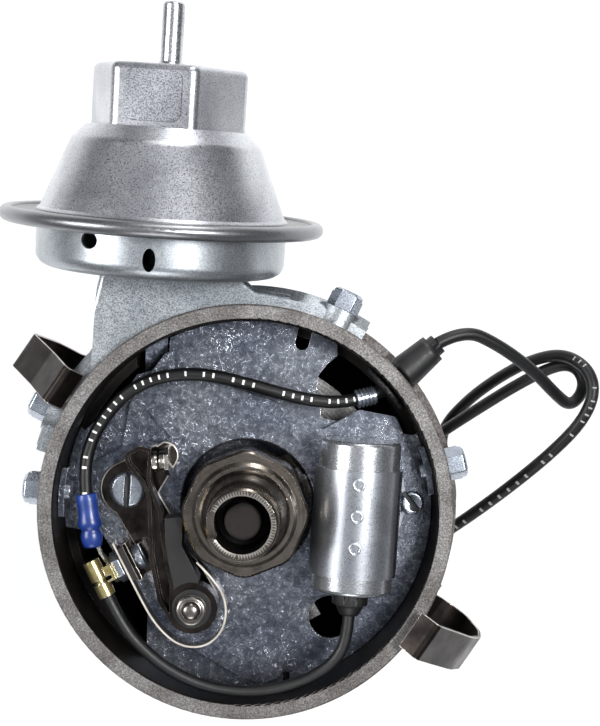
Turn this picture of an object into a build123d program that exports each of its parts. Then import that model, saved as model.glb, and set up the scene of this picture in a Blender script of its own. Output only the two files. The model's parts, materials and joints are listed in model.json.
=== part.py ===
from build123d import *
import os
from math import atan2, cos, degrees, hypot, radians, sin, sqrt, tan

# Breaker-point ignition distributor for a V8, with centrifugal and vacuum advance.
# +Z is up the shaft, the origin is on the shaft at the face that seats on the engine,
# and +Y is the side of the vacuum unit. Millimetres throughout.

os.makedirs("parts", exist_ok=True)

# ---------------------------------------------------------------- driving dimensions

# bowl, neck and shank of the cast housing
rim_r = 46.0            # outside of the open rim that the cap sits on
rim_wall = 3.5
rim_z = 82.0
shoulder_step = 2.0     # the bowl is this much thicker below the rim
shoulder_z = 68.0
belly_z = 46.0          # where the bowl starts to taper in
wall_z = 48.0           # the bowl's wall is a node of its own from here up
ledge_z = 66.0          # ledge that the sub plate rests on
ledge_w = 2.0
floor_z = 40.0
floor_r = 32.0
neck_r = 22.0
neck_z = 26.0
seat_r = 24.0
seat_t = 8.0
shank_r = 15.5
shank_len = 45.0
seal_groove_z = -9.0    # middle of the seal's groove
seal_groove_w = 4.0
seal_groove_d = 1.8
seal_inset = 0.05       # the seal stays this far under the shank's surface

# drive shaft and its bushes
shaft_r = 6.2
bush_wall = 2.3
bush_len = 20.0
running_gap = 0.05      # radial clearance of every turning fit
end_gap = 0.1           # gap beside a turning face
shaft_tail_z = -66.0
tang_len = 6.0
tang_w = 4.0
washer_t = 1.2
collar_r = 11.0
collar_len = 10.0
collar_pin_r = 1.6
spindle_r = 4.5         # the shaft's slim upper end, inside the cam

# centrifugal governor
governor_z = 46.0       # underside of the governor plate
governor_t = 2.5
weight_t = 6.0
weight_gap = 0.4
weight_pivot_r = 30.0   # distance of each weight's pivot from the shaft
weight_pin_r = 13.0     # distance of each weight's driving pin from the shaft
weight_out_r = 33.0
weight_in_r = 19.5
weight_sweep = 95.0     # degrees of the weight's crescent
governor_pin_r = 2.0
slot_play = 0.35        # side play of a driving pin in its slot
yoke_t = 2.0
governor_turn = 30.0    # where the first weight's pivot stands round the shaft

# breaker cam
lobes = 8
lobe_r = 13.7           # across the rounded corners, from the axis
lobe_round = 2.2
lobe_low_z = 74.0
lobe_high_z = 84.5
lobe_turn = 2.5         # degrees from +X to the first corner
cam_sleeve_r = 9.0
cam_step_r = 10.2
cam_top_z = 100.0
rotor_seat_r = 7.7      # what the rotor arm pushes onto
rotor_seat_z = 88.0
cam_bore_r = 6.1
cam_bore_depth = 12.0
rotor_key_w = 5.4
rotor_key_depth = 5.0

# plates
plate_t = 1.6
plate_gap = 0.4         # between the sub plate and the breaker plate
sub_plate_play = 0.2    # between the sub plate and the bowl
collar_in_r = 15.0      # hole through the breaker plate
collar_wall = 1.2
collar_drop = 4.5
tab_t = 1.3
tab_w = 11.0
tab_h = 8.5

# radial screws
screw_r = 2.4
screw_head_af = 6.7
screw_head_h = 4.6
screw_slot_w = 1.1
screw_slot_d = 1.2
screw_z = 72.8
plate_screw_angles = (16.1, 178.7)
vacuum_screw_angles = (68.4, 156.9)

# cap clips
clip_angles = (149.4, -30.6)
clip_w = 9.0
clip_t = 0.8
clip_bow = 12.4         # how far the first clip bows out past its hinge
clip_belly = 14.2       # and the second, which has been bent open
hinge_out = 2.3         # each hinge stands this far outside the bowl's thicker band
hinge_z = 41.0
hinge_pin_r = 1.0
hinge_eye_wall = 0.9
ear_t = 2.4
ear_r = 2.6

# vacuum unit
unit_x = -23.4
unit_tilt = 7.4         # degrees the unit points up
unit_z = 63.96          # height of its axis where it passes y = 0
cup_base = 53.0         # stations along the unit's axis
flange_at = 63.0
cone_top = 85.0
hex_top = 98.0
nipple_top = 112.0
sheet_t = 0.8
cup_r = 28.0
flange_r = 34.0
bead_r = 34.65
bead_round = 1.65
cone_low_r = 27.8
cone_high_r = 19.6
hex_af = 31.0
hex_turn = -7.0
hex_round = 2.6
nipple_r = 2.5
nipple_bore_r = 1.6
vent_turn = (-26.5, 1.0)                       # the cup's two vents, round the unit's axis
vent_at = (flange_at - 2.6, flange_at - 5.65)  # and along it
vent_w = (4.0, 2.7)
vent_len = (3.6, 4.9)
link_w = 5.0
link_eye_r = 3.6
link_t = 1.2
pull_len = 4.1          # full stroke of the diaphragm

# vacuum unit's bracket
bracket_band_t = 2.5     # over the bowl's thicker band
bracket_rim_t = 3.0      # over the rim
bracket_low_z = 56.0
bracket_high_z = 77.0

# contact set, on the breaker plate
pivot_at = (-10.5, -22.5)
lock_at = (-27.3, 2.1)
base_t = 1.2
post_r = 2.3
arm_bush_r = 4.4
arm_low_z = 74.8
arm_high_z = 79.2
contact_z = 77.0
contact_r = 2.3
contact_t = 1.2
contact_open = 0.45     # gap of the open points
fixed_contact_at = (-20.0, 9.5)
fixed_contact_turn = 7.0
spring_t = 0.35

# terminal stack on the contact set
stack_at = (-26.26, -14.16)
stack_turn = 209.9      # way the stack points, in degrees
stack_z = 75.0
nut_af = 6.5

# condenser
can_r = 9.0
can_x = 24.45
can_y = (-15.9, 17.6)
strap_t = 0.7
strap_y = (-12.0, 11.5)
condenser_screw_at = (37.4, 3.5)

# leads
lead_r = 1.45
condenser_lead_r = 1.35
boot_angle = 44.8
boot_z = 74.0
boot_root_r = 4.25
boot_tip_r = 3.3
boot_reach = 56.9       # from the shaft's axis to the boot's tip
boot_flange_r = 6.0

# ---------------------------------------------------------------- worked-out values

bowl_r = rim_r - rim_wall
shoulder_r = rim_r + shoulder_step
hinge_r = shoulder_r + hinge_out
bracket_r_low = shoulder_r + bracket_band_t
bracket_r_high = rim_r + bracket_rim_t
ledge_r = bowl_r - ledge_w
bush_r = shaft_r + running_gap + bush_wall
sub_top = ledge_z + plate_t
plate_z = sub_top + plate_gap
plate_top = plate_z + plate_t
base_top = plate_top + base_t
governor_top = governor_z + governor_t
weight_z = governor_top + weight_gap
weight_top = weight_z + weight_t
yoke_z = weight_top + weight_gap
spindle_z = yoke_z - end_gap
unit_dir = (0.0, cos(radians(unit_tilt)), sin(radians(unit_tilt)))
unit_axis = Axis((unit_x, 0, unit_z), unit_dir)


def polar(r, angle, z=0.0):
    """A point at radius r and angle (degrees) about the shaft."""
    return (r * cos(radians(angle)), r * sin(radians(angle)), z)


def section_plane(angle):
    """Upright plane through the shaft: x runs outwards at the angle, y runs up."""
    a = radians(angle)
    return Plane(origin=(0, 0, 0), x_dir=(cos(a), sin(a), 0), z_dir=(sin(a), -cos(a), 0))


def outward_plane(angle, r, z):
    """Plane that faces outwards at radius r: x runs round the bowl, y runs up."""
    a = radians(angle)
    return Plane(origin=polar(r, angle, z), x_dir=(-sin(a), cos(a), 0), z_dir=(cos(a), sin(a), 0))


def unit_plane(station):
    """Plane across the vacuum unit's axis, facing away from the bowl, y up."""
    c, s = unit_dir[1], unit_dir[2]
    origin = (unit_x, station * c, unit_z + station * s)
    return Plane(origin=origin, x_dir=(-1, 0, 0), z_dir=unit_dir)


unit_section = Plane(origin=(unit_x, 0, unit_z), x_dir=(1, 0, 0), z_dir=(0, -unit_dir[2], unit_dir[1]))


def stack_point(out, along):
    """Plan position in the terminal stack: out along its screw, along across it."""
    a = radians(stack_turn)
    x = stack_at[0] + out * cos(a) - along * sin(a)
    y = stack_at[1] + out * sin(a) + along * cos(a)
    return (x, y)


def stack_plane(out):
    """Plane across the terminal screw: x runs across the stack, y runs up."""
    a = radians(stack_turn)
    origin = (*stack_point(out, 0), stack_z)
    return Plane(origin=origin, x_dir=(-sin(a), cos(a), 0), z_dir=(cos(a), sin(a), 0))


def corner(sketch, x, y):
    """The sketch's corner nearest to a point of its own plane."""
    return sketch.vertices().sort_by_distance((x, y, 0))[0]


def write(part, label):
    """Names one finished piece and saves it."""
    part.label = label
    export_step(part, f"parts/{label}.step")


def route_radii(points):
    """Largest arc at each corner of a cord's route: 0.45 of its shorter run over tan(half turn)."""
    radii = []
    for before, here, after in zip(points, points[1:], points[2:]):
        run_in = Vector(*here) - Vector(*before)
        run_out = Vector(*after) - Vector(*here)
        half_turn = radians(run_in.get_angle(run_out)) / 2
        radii.append(0.45 * min(run_in.length, run_out.length) / tan(half_turn))
    return radii


# ---------------------------------------------------------------- housing

bowl_outline = [
    (neck_r, seat_t + 2),
    (neck_r, neck_z),
    (shoulder_r, belly_z),
    (shoulder_r, shoulder_z),
    (rim_r, shoulder_z + 1),
    (rim_r, rim_z),
]

with BuildPart() as housing:
    with BuildSketch(Plane.XZ) as housing_section:
        with BuildLine():
            Polyline(
                (bush_r, floor_z),
                (bush_r, -shank_len),
                (shank_r, -shank_len),
                (shank_r, seal_groove_z - seal_groove_w / 2),
                (shank_r - seal_groove_d, seal_groove_z - seal_groove_w / 2),
                (shank_r - seal_groove_d, seal_groove_z + seal_groove_w / 2),
                (shank_r, seal_groove_z + seal_groove_w / 2),
                (shank_r, 0),
                (seat_r, 0),
                (seat_r, seat_t),
                *bowl_outline,
                (bowl_r, rim_z),
                (bowl_r, ledge_z),
                (ledge_r, ledge_z),
                (ledge_r, belly_z),
                (floor_r, floor_z),
                close=True,
            )
        make_face()
        fillet(corner(housing_section, shoulder_r, belly_z), 6)
        fillet(corner(housing_section, neck_r, neck_z), 5)
        fillet(corner(housing_section, floor_r, floor_z), 4)
        chamfer(corner(housing_section, shank_r, -shank_len), 1.0)
        fillet(corner(housing_section, rim_r, rim_z), 0.5)
        fillet(corner(housing_section, bowl_r, rim_z), 0.5)
    revolve(axis=Axis.Z)
    # a pair of ears for each clip's hinge pin
    for angle in clip_angles:
        for side in (-1, 1):
            inner_face = side * (clip_w / 2 + 0.3)
            ear_plane = section_plane(angle).offset(inner_face)
            with BuildSketch(ear_plane):
                with BuildLine():
                    Polyline(
                        (hinge_r, hinge_z + ear_r),
                        (ledge_r + 3, belly_z + 1),
                        (ledge_r - 3, hinge_z - ear_r),
                        (hinge_r, hinge_z - ear_r),
                        close=True,
                    )
                make_face()
                with Locations((hinge_r, hinge_z)):
                    Circle(ear_r)
            extrude(amount=side * ear_t)
        with BuildSketch(section_plane(angle)):
            with Locations((hinge_r, hinge_z)):
                Circle(hinge_pin_r)
        extrude(amount=clip_w / 2 + 0.3 + ear_t, both=True, mode=Mode.SUBTRACT)
    # threaded holes for the radial screws, the boot's hole and the link's window
    for angle in (*plate_screw_angles, *vacuum_screw_angles):
        with BuildSketch(outward_plane(angle, ledge_r - 1, screw_z)):
            Circle(screw_r)
        extrude(amount=shoulder_r, mode=Mode.SUBTRACT)
    with BuildSketch(outward_plane(boot_angle, ledge_r - 1, boot_z)):
        Circle(boot_root_r - 0.6)
    extrude(amount=rim_r, mode=Mode.SUBTRACT)
    with BuildSketch(Plane.XZ.offset(-30)):
        with Locations((unit_x, 66.5)):
            RectangleRounded(link_w + 4, 12, 2)
    extrude(amount=-20, mode=Mode.SUBTRACT)
wall_plane = Plane.XY.offset(wall_z)
write(split(housing.part, bisect_by=wall_plane, keep=Keep.BOTTOM), "housing")
write(split(housing.part, bisect_by=wall_plane, keep=Keep.TOP), "bowl_wall")


def bush(low_z):
    """A bronze bush in the housing's bore."""
    with BuildPart() as one:
        with BuildSketch(Plane.XY.offset(low_z)):
            Circle(bush_r)
            Circle(shaft_r + running_gap, mode=Mode.SUBTRACT)
        extrude(amount=bush_len)
        chamfer(one.faces().sort_by(Axis.Z)[-1].edges().sort_by(SortBy.RADIUS)[0], 0.4)
    return one.part


write(bush(-shank_len), "lower_bushing")
write(bush(floor_z - bush_len), "upper_bushing")

with BuildPart() as shank_seal_ring:
    with BuildSketch(Plane.XZ) as seal_section:
        with Locations((shank_r - seal_groove_d / 2 - seal_inset / 2, seal_groove_z)):
            Rectangle(seal_groove_d - seal_inset, seal_groove_w - 0.2)
        chamfer(seal_section.vertices(), 0.5)
    revolve(axis=Axis.Z)
write(shank_seal_ring.part, "shank_seal_ring")

# ---------------------------------------------------------------- drive shaft

tail_step_z = -shank_len - washer_t - 2 * end_gap

with BuildPart() as drive_shaft:
    with BuildSketch(Plane.XZ):
        with BuildLine():
            Polyline(
                (0, shaft_tail_z),
                (shaft_r - 1, shaft_tail_z),
                (shaft_r, shaft_tail_z + 1),
                (shaft_r, spindle_z),
                (spindle_r, spindle_z),
                (spindle_r, cam_top_z - cam_bore_depth + 2.4),
                (spindle_r - 0.5, cam_top_z - cam_bore_depth + 2.9),
                (0, cam_top_z - cam_bore_depth + 2.9),
                close=True,
            )
        make_face()
    revolve(axis=Axis.Z)
    # driving tang: two flats at the tail
    for side in (-1, 1):
        with BuildSketch(Plane.XY.offset(shaft_tail_z)):
            with Locations((0, side * (tang_w / 2 + shaft_r / 2))):
                Rectangle(2.5 * shaft_r, shaft_r)
        extrude(amount=tang_len, mode=Mode.SUBTRACT)
    with BuildSketch(Plane.XZ):
        with Locations((0, tail_step_z - collar_len / 2)):
            Circle(collar_pin_r)
    extrude(amount=shaft_r, both=True, mode=Mode.SUBTRACT)
write(drive_shaft.part, "drive_shaft")

with BuildPart() as shaft_collar:
    with BuildSketch(Plane.XY.offset(tail_step_z - collar_len)):
        Circle(collar_r)
        Circle(shaft_r, mode=Mode.SUBTRACT)
    extrude(amount=collar_len)
    chamfer(shaft_collar.edges().filter_by(GeomType.CIRCLE).sort_by(SortBy.RADIUS)[-2:], 0.8)
    with BuildSketch(Plane.XZ):
        with Locations((0, tail_step_z - collar_len / 2)):
            Circle(collar_pin_r)
    extrude(amount=collar_r, both=True, mode=Mode.SUBTRACT)
write(shaft_collar.part, "shaft_collar")

with BuildPart() as collar_pin:
    with BuildSketch(Plane.XZ):
        with Locations((0, tail_step_z - collar_len / 2)):
            Circle(collar_pin_r)
    extrude(amount=collar_r - 0.2, both=True)
write(collar_pin.part, "collar_pin")

with BuildPart() as thrust_washers:
    for low_z in (-shank_len - end_gap - washer_t, floor_z + end_gap):
        with BuildSketch(Plane.XY.offset(low_z)):
            Circle(collar_r)
            Circle(shaft_r + running_gap, mode=Mode.SUBTRACT)
        extrude(amount=washer_t)
write(thrust_washers.part, "thrust_washers")

# ---------------------------------------------------------------- governor

spring_post_r = 26.0
spring_post_turn = 62.0     # plate's spring post, round from the weight's pivot
yoke_post_r = 17.0
yoke_post_turn = -14.0      # yoke's spring post, round from its driving slot
post_pin_r = 1.3
governor_hub_r = 9.0
governor_disc_r = 16.0
notch_len = 9.0             # notch in each weight, where it swings past the post

with BuildPart() as governor_plate:
    with BuildSketch(Plane.XY.offset(governor_z)):
        Circle(governor_disc_r)
        for half in (0, 180):
            with Locations(polar(weight_pivot_r / 2, governor_turn + half)):
                Rectangle(weight_pivot_r, 11, rotation=governor_turn)
            with Locations(polar(weight_pivot_r, governor_turn + half)):
                Circle(5.5)
            with Locations(polar(spring_post_r / 2, governor_turn + spring_post_turn + half)):
                Rectangle(spring_post_r, 6, rotation=governor_turn + spring_post_turn)
            with Locations(polar(spring_post_r, governor_turn + spring_post_turn + half)):
                Circle(3)
        Circle(shaft_r, mode=Mode.SUBTRACT)
    extrude(amount=governor_t)
    with BuildSketch(Plane.XY.offset(floor_z + 2 * end_gap + washer_t)):
        Circle(governor_hub_r)
        Circle(shaft_r, mode=Mode.SUBTRACT)
    extrude(until=Until.NEXT)
    # pivot pins for the weights
    with BuildSketch(Plane.XY.offset(governor_top)):
        for half in (0, 180):
            with Locations(polar(weight_pivot_r, governor_turn + half)):
                Circle(governor_pin_r)
    extrude(amount=weight_gap + weight_t + 1)
    # spring posts stand past the weights, bent out of their way
    with BuildSketch(Plane.XY.offset(governor_top)):
        for half in (0, 180):
            with Locations(polar(spring_post_r, governor_turn + spring_post_turn + half)):
                Circle(post_pin_r)
    extrude(amount=yoke_z + yoke_t + 3 - governor_top)
write(governor_plate.part, "governor_plate")


def weight(half):
    """One governor weight: a crescent with a pivot eye and a driving pin."""
    turn = governor_turn + half
    post = Vector(*polar(spring_post_r, governor_turn + spring_post_turn + half))
    arm = post - Vector(*polar(weight_pivot_r, turn))
    notch_turn = degrees(atan2(arm.Y, arm.X)) + 90
    notch_mid = post + Vector(arm.Y, -arm.X).normalized() * (-notch_len / 2)
    with BuildPart() as one:
        with BuildSketch(Plane.XY.offset(weight_z)):
            Circle(weight_out_r)
            Circle(weight_in_r, mode=Mode.SUBTRACT)
            with BuildLine():
                Polyline(
                    (0, 0),
                    polar(80, turn),
                    polar(80, turn + weight_sweep / 2),
                    polar(80, turn + weight_sweep),
                    close=True,
                )
            make_face(mode=Mode.INTERSECT)
            with Locations(polar(weight_pivot_r, turn)):
                Circle(4.5)
            with Locations(polar((weight_pivot_r + weight_pin_r) / 2, turn)):
                Rectangle(weight_pivot_r - weight_pin_r, 5, rotation=turn)
            with Locations(polar(weight_pin_r, turn)):
                Circle(2.5)
            with Locations(polar(weight_pivot_r, turn)):
                Circle(governor_pin_r + running_gap, mode=Mode.SUBTRACT)
            with Locations(notch_mid):
                SlotCenterToCenter(notch_len, 2 * (post_pin_r + 0.6), rotation=notch_turn, mode=Mode.SUBTRACT)
        extrude(amount=weight_t)
        with BuildSketch(Plane.XY.offset(weight_top)):
            with Locations(polar(weight_pin_r, turn)):
                Circle(governor_pin_r - 0.2)
        extrude(amount=weight_gap + yoke_t + 0.6)
    return one.part


write(weight(0), "weight_a")
write(weight(180), "weight_b")

# ---------------------------------------------------------------- cam

with BuildPart() as lobe_block:
    with BuildSketch(Plane.XY.offset(lobe_low_z)) as lobe_plan:
        RegularPolygon(lobe_r + 0.75, lobes, rotation=lobe_turn)
        fillet(lobe_plan.vertices(), lobe_round * 2.6)
    extrude(amount=lobe_high_z - lobe_low_z)
    chamfer(lobe_block.faces().sort_by(Axis.Z)[-1].edges(), 0.5)

with BuildPart() as cam:
    # yoke that the weights drive
    with BuildSketch(Plane.XY.offset(yoke_z)):
        Circle(12)
        for half in (0, 180):
            turn = governor_turn + half
            with Locations(polar(9.5, turn)):
                Rectangle(19, 11, rotation=turn)
            with Locations(polar(yoke_post_r, turn + yoke_post_turn)):
                Circle(2.8)
        for half in (0, 180):
            with Locations(polar(weight_pin_r, governor_turn + half)):
                Rectangle(7, 2 * (governor_pin_r - 0.2 + slot_play), rotation=governor_turn, mode=Mode.SUBTRACT)
    extrude(amount=yoke_t)
    with BuildSketch(Plane.XY.offset(yoke_z + yoke_t)):
        for half in (0, 180):
            with Locations(polar(yoke_post_r, governor_turn + half + yoke_post_turn)):
                Circle(post_pin_r)
    extrude(amount=3)
    # turned sleeve up to the rotor's seat
    with BuildSketch(Plane.XZ):
        with BuildLine():
            Polyline(
                (0, yoke_z),
                (cam_sleeve_r, yoke_z),
                (cam_sleeve_r, lobe_high_z - 2),
                (lobe_r - 2.2, lobe_high_z - 2),
                (lobe_r - 2.2, lobe_high_z + 0.6),
                (cam_step_r + 0.5, rotor_seat_z - 2.2),
                (cam_step_r - 0.3, rotor_seat_z - 2.2),
                (cam_step_r - 1.0, rotor_seat_z - 0.8),
                (rotor_seat_r + 0.8, rotor_seat_z),
                (rotor_seat_r, rotor_seat_z + 1),
                (rotor_seat_r, cam_top_z - 0.5),
                (rotor_seat_r - 0.5, cam_top_z),
                (0, cam_top_z),
                close=True,
            )
        make_face()
    revolve(axis=Axis.Z)
    # the eight lobes
    add(lobe_block.part)
    # running bore, open mouth and the rotor's keyway
    with BuildSketch(Plane.XY.offset(yoke_z)):
        Circle(spindle_r + running_gap)
    extrude(until=Until.LAST, mode=Mode.SUBTRACT)
    with BuildSketch(Plane.XY.offset(cam_top_z - cam_bore_depth)):
        Circle(cam_bore_r)
    extrude(amount=cam_bore_depth, mode=Mode.SUBTRACT)
    with BuildSketch(Plane.XY.offset(cam_top_z - rotor_key_depth)):
        with Locations((-rotor_seat_r, -0.5)):
            Rectangle(rotor_seat_r, rotor_key_w)
    extrude(amount=rotor_key_depth, mode=Mode.SUBTRACT)
write(cam.part, "cam")

mouth_z = cam_top_z - cam_bore_depth

with BuildPart() as cam_retainer:
    with BuildSketch(Plane.XY.offset(mouth_z + end_gap)):
        Circle(cam_bore_r - 0.3)
        Circle(spindle_r, mode=Mode.SUBTRACT)
        with Locations((cam_bore_r, 0)):
            Rectangle(4, 2, mode=Mode.SUBTRACT)
    extrude(amount=1.0)
write(cam_retainer.part, "cam_retainer")

with BuildPart() as cam_wick:
    with BuildSketch(Plane.XY.offset(mouth_z + 2.9)):
        Circle(spindle_r - 0.6)
    extrude(amount=4.5)
    fillet(cam_wick.faces().sort_by(Axis.Z)[-1].edges(), 0.8)
write(cam_wick.part, "cam_wick")


def governor_spring(half):
    """A close-wound tension spring between a plate post and a yoke post, with its end loops."""
    level = yoke_z + yoke_t + 2
    near_post = Vector(*polar(yoke_post_r, governor_turn + half + yoke_post_turn, level))
    far_post = Vector(*polar(spring_post_r, governor_turn + half + spring_post_turn, level))
    along = (far_post - near_post).normalized()
    body_start = near_post + along * 4.2
    body_len = (far_post - near_post).length - 8.4
    with BuildPart() as one:
        with BuildSketch(Plane(origin=body_start, z_dir=along)):
            Circle(1.8)
        extrude(amount=body_len)
        for post, way in ((near_post, along), (far_post, along * -1)):
            with BuildSketch(Plane(origin=post, x_dir=way, z_dir=(0, 0, 1)).offset(-0.3)):
                Circle(post_pin_r + 0.7)
                with Locations((post_pin_r + 1.6, 0)):
                    Rectangle(3.4, 0.7)
                Circle(post_pin_r + 0.05, mode=Mode.SUBTRACT)
            extrude(amount=0.6)
    return one.part


write(Compound(children=[governor_spring(0), governor_spring(180)]), "governor_springs")

# ---------------------------------------------------------------- plates

sub_r = bowl_r - sub_plate_play
collar_out_r = collar_in_r + collar_wall

with BuildPart() as sub_plate:
    with BuildSketch(Plane.XY.offset(ledge_z)):
        Circle(sub_r)
        Circle(collar_out_r + running_gap, mode=Mode.SUBTRACT)
        # open quarter for the link, at the vacuum unit's side
        with BuildLine():
            Polyline(
                (-20.4, 46), (-20.4, 30.6), (-27.5, 28.0), (-31.0, 22.0), (-38.5, 14.5), (-48, 20), (-40, 44),
                close=True,
            )
        make_face(mode=Mode.SUBTRACT)
        # open corner beside the boot
        with BuildLine():
            Polyline(
                (17.6, 42), (18.2, 35.6), (16.0, 33.5), (14.2, 30.9), (14.0, 27.9), (15.5, 21.0), (36.5, 18.5),
                (46, 22), (36, 40),
                close=True,
            )
        make_face(mode=Mode.SUBTRACT)
        # open corner under the terminals
        with BuildLine():
            Polyline(
                (-44, -8), (-31.5, -9.0), (-21.5, -22.0), (-20.9, -42), (-30, -46),
                close=True,
            )
        make_face(mode=Mode.SUBTRACT)
        with Locations((20.8, -24.8)):
            Circle(5, mode=Mode.SUBTRACT)
        # slot for the breaker plate's link pin
        with Locations((unit_x, 0)):
            SlotOverall(11, 5.4, rotation=90, mode=Mode.SUBTRACT)
        # locating notches in the edge
        with Locations((11.6, -40.5)):
            Rectangle(1.6, 4.4, mode=Mode.SUBTRACT)
        with Locations((10.2, 39.5)):
            SlotOverall(6.5, 3.2, rotation=80, mode=Mode.SUBTRACT)
    extrude(amount=plate_t)
    # upright tabs that the two radial screws hold
    for angle in plate_screw_angles:
        with BuildSketch(Plane.XY.offset(ledge_z)):
            Circle(sub_r)
            Circle(sub_r - tab_t, mode=Mode.SUBTRACT)
            with Locations(polar(sub_r, angle)):
                Rectangle(8, tab_w, rotation=angle, mode=Mode.INTERSECT)
        extrude(amount=plate_t + tab_h)
        with BuildSketch(outward_plane(angle, ledge_r - 3, screw_z)):
            Circle(screw_r)
        extrude(amount=shoulder_r, mode=Mode.SUBTRACT)
write(sub_plate.part, "sub_plate")

with BuildPart() as breaker_plate:
    with BuildSketch(Plane.XY.offset(plate_z)) as plate_plan:
        with BuildLine():
            Polyline(
                (39.8, 4.0), (37.2, 13.0), (32.6, 22.6), (24.1, 23.7), (15.9, 18.4), (3.5, 24.5), (-5.1, 26.6),
                (-7.4, 29.5), (-9.4, 35.1), (-12.2, 36.5), (-21.1, 33.5), (-24.9, 27.6), (-28.4, 21.6),
                (-29.5, 11.5), (-36.5, 7.0), (-36.8, -3.0), (-30.5, -12.0), (-21.5, -25.5), (-9.2, -34.5),
                (1.0, -39.6), (6.2, -40.9), (10.2, -38.9), (11.2, -33.8), (9.8, -30.4), (10.0, -26.2),
                (14.6, -20.1), (31.0, -17.5), (38.6, -9.0),
                close=True,
            )
        make_face()
        fillet(plate_plan.vertices(), 1.2)
        Circle(collar_in_r, mode=Mode.SUBTRACT)
        # window beside the contact set
        with BuildLine():
            Polyline(
                (-26.0, 13.6), (-25.9, 19.0), (-24.4, 20.3), (-21.2, 17.0), (-18.6, 14.5), (-20.0, 12.4),
                close=True,
            )
        make_face(mode=Mode.SUBTRACT)
        with Locations(lock_at):
            Circle(1.9, mode=Mode.SUBTRACT)
        with Locations(condenser_screw_at):
            Circle(1.6, mode=Mode.SUBTRACT)
        with Locations(pivot_at):
            Circle(post_r - 0.6, mode=Mode.SUBTRACT)
    extrude(amount=plate_t)
    # drawn collar that turns in the sub plate
    with BuildSketch(Plane.XY.offset(plate_z - collar_drop)):
        Circle(collar_out_r)
        Circle(collar_in_r, mode=Mode.SUBTRACT)
    extrude(amount=collar_drop + plate_t)
    top_edges = breaker_plate.faces().filter_by(Axis.Z).sort_by(Axis.Z)[-1].edges()
    fillet(top_edges.sort_by_distance((collar_in_r, 0, plate_top))[0], 0.6)
write(breaker_plate.part, "breaker_plate")

with BuildPart() as plate_retainer:
    with BuildSketch(Plane.XY.offset(ledge_z - end_gap - 0.9)):
        Circle(collar_out_r + 1.6)
        Circle(collar_out_r, mode=Mode.SUBTRACT)
        with Locations((collar_out_r + 1, 0)):
            Rectangle(5, 3, mode=Mode.SUBTRACT)
    extrude(amount=0.9)
write(plate_retainer.part, "plate_retainer")

link_pin_r = 1.6
link_eye_z = 62.9           # middle of the link's flat end
link_pin_at = (unit_x, -pull_len / 2)

with BuildPart() as link_pin:
    with BuildSketch(Plane.XY.offset(link_eye_z - 2.0)):
        with Locations(link_pin_at):
            Circle(link_pin_r)
    extrude(amount=plate_z - link_eye_z + 2.0)
write(link_pin.part, "link_pin")

# ---------------------------------------------------------------- radial screws


def radial_screw(angle, seat_at, tip_at):
    """A slotted hexagon screw that points at the shaft; its head seats at radius seat_at."""
    with BuildPart() as one:
        with BuildSketch(outward_plane(angle, seat_at, screw_z)):
            RegularPolygon(screw_head_af / 2, 6, major_radius=False)
        extrude(amount=screw_head_h)
        tip_edges = one.faces().sort_by_distance(polar(seat_at + screw_head_h, angle, screw_z))[0].edges()
        chamfer(tip_edges, 0.6)
        with BuildSketch(outward_plane(angle, seat_at + screw_head_h - screw_slot_d, screw_z)):
            Rectangle(2 * screw_head_af, screw_slot_w)
        extrude(amount=2 * screw_slot_d, mode=Mode.SUBTRACT)
        with BuildSketch(outward_plane(angle, tip_at, screw_z)):
            Circle(screw_r)
        extrude(amount=seat_at - tip_at)
    return one.part


plate_screw_list = [radial_screw(a, rim_r, ledge_r - 0.6) for a in plate_screw_angles]
write(Compound(children=plate_screw_list), "plate_screws")

# ---------------------------------------------------------------- vacuum unit's bracket

boss_r = 5.2

with BuildPart() as vacuum_bracket:
    # band round the bowl
    with BuildSketch(section_plane(60)):
        with BuildLine():
            Polyline(
                (40, bracket_low_z), (bracket_r_low, bracket_low_z), (bracket_r_low, shoulder_z),
                (bracket_r_high, shoulder_z + 1.5), (bracket_r_high, bracket_high_z - 1),
                (bracket_r_high - 1, bracket_high_z), (40, bracket_high_z),
                close=True,
            )
        make_face()
    revolve(axis=Axis.Z, revolution_arc=108)
    # block that carries the unit
    with BuildSketch(Plane.XY.offset(bracket_low_z)) as block_plan:
        with BuildLine():
            Polyline(
                (-36.5, 24), (-36.5, 47.8), (-34.6, 58), (-6.0, 58), (-4.3, 51.7), (-1.4, 49.4), (6.5, 48.6), (6.5, 35),
                close=True,
            )
        make_face()
        fillet(corner(block_plan, -1.4, 49.4), 3)
    extrude(amount=bracket_high_z + 1.5 - bracket_low_z)
    fillet(vacuum_bracket.faces().sort_by(Axis.Z)[-1].edges().filter_by_position(Axis.Y, 45, 60), 1.4)
    # bosses under the screw heads
    for angle in vacuum_screw_angles:
        with BuildSketch(outward_plane(angle, rim_r - 2, screw_z)):
            Circle(boss_r)
        extrude(amount=bracket_r_high + 0.6 - rim_r + 2)
    # seat of the unit, then the bowl's own shape
    with BuildSketch(unit_plane(cup_base)):
        Rectangle(120, 80)
    extrude(amount=30, mode=Mode.SUBTRACT)
    with BuildSketch(Plane.XZ):
        with BuildLine():
            Polyline((0, neck_z), *bowl_outline[1:-1], (rim_r, rim_z + 5), (0, rim_z + 5), close=True)
        make_face()
    revolve(axis=Axis.Z, mode=Mode.SUBTRACT)
    # tunnel for the link and holes for the screws
    with BuildSketch(Plane.XZ.offset(-30)):
        with Locations((unit_x, 68.0)):
            RectangleRounded(link_w + 4, 15, 2)
    extrude(amount=-40, mode=Mode.SUBTRACT)
    for angle in vacuum_screw_angles:
        with BuildSketch(outward_plane(angle, ledge_r - 3, screw_z)):
            Circle(screw_r)
        extrude(amount=shoulder_r, mode=Mode.SUBTRACT)
write(vacuum_bracket.part, "vacuum_bracket")

vacuum_screw_list = [radial_screw(a, bracket_r_high + 0.6, bowl_r + 0.3) for a in vacuum_screw_angles]
write(Compound(children=vacuum_screw_list), "vacuum_bracket_screws")

# ---------------------------------------------------------------- vacuum unit

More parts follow.
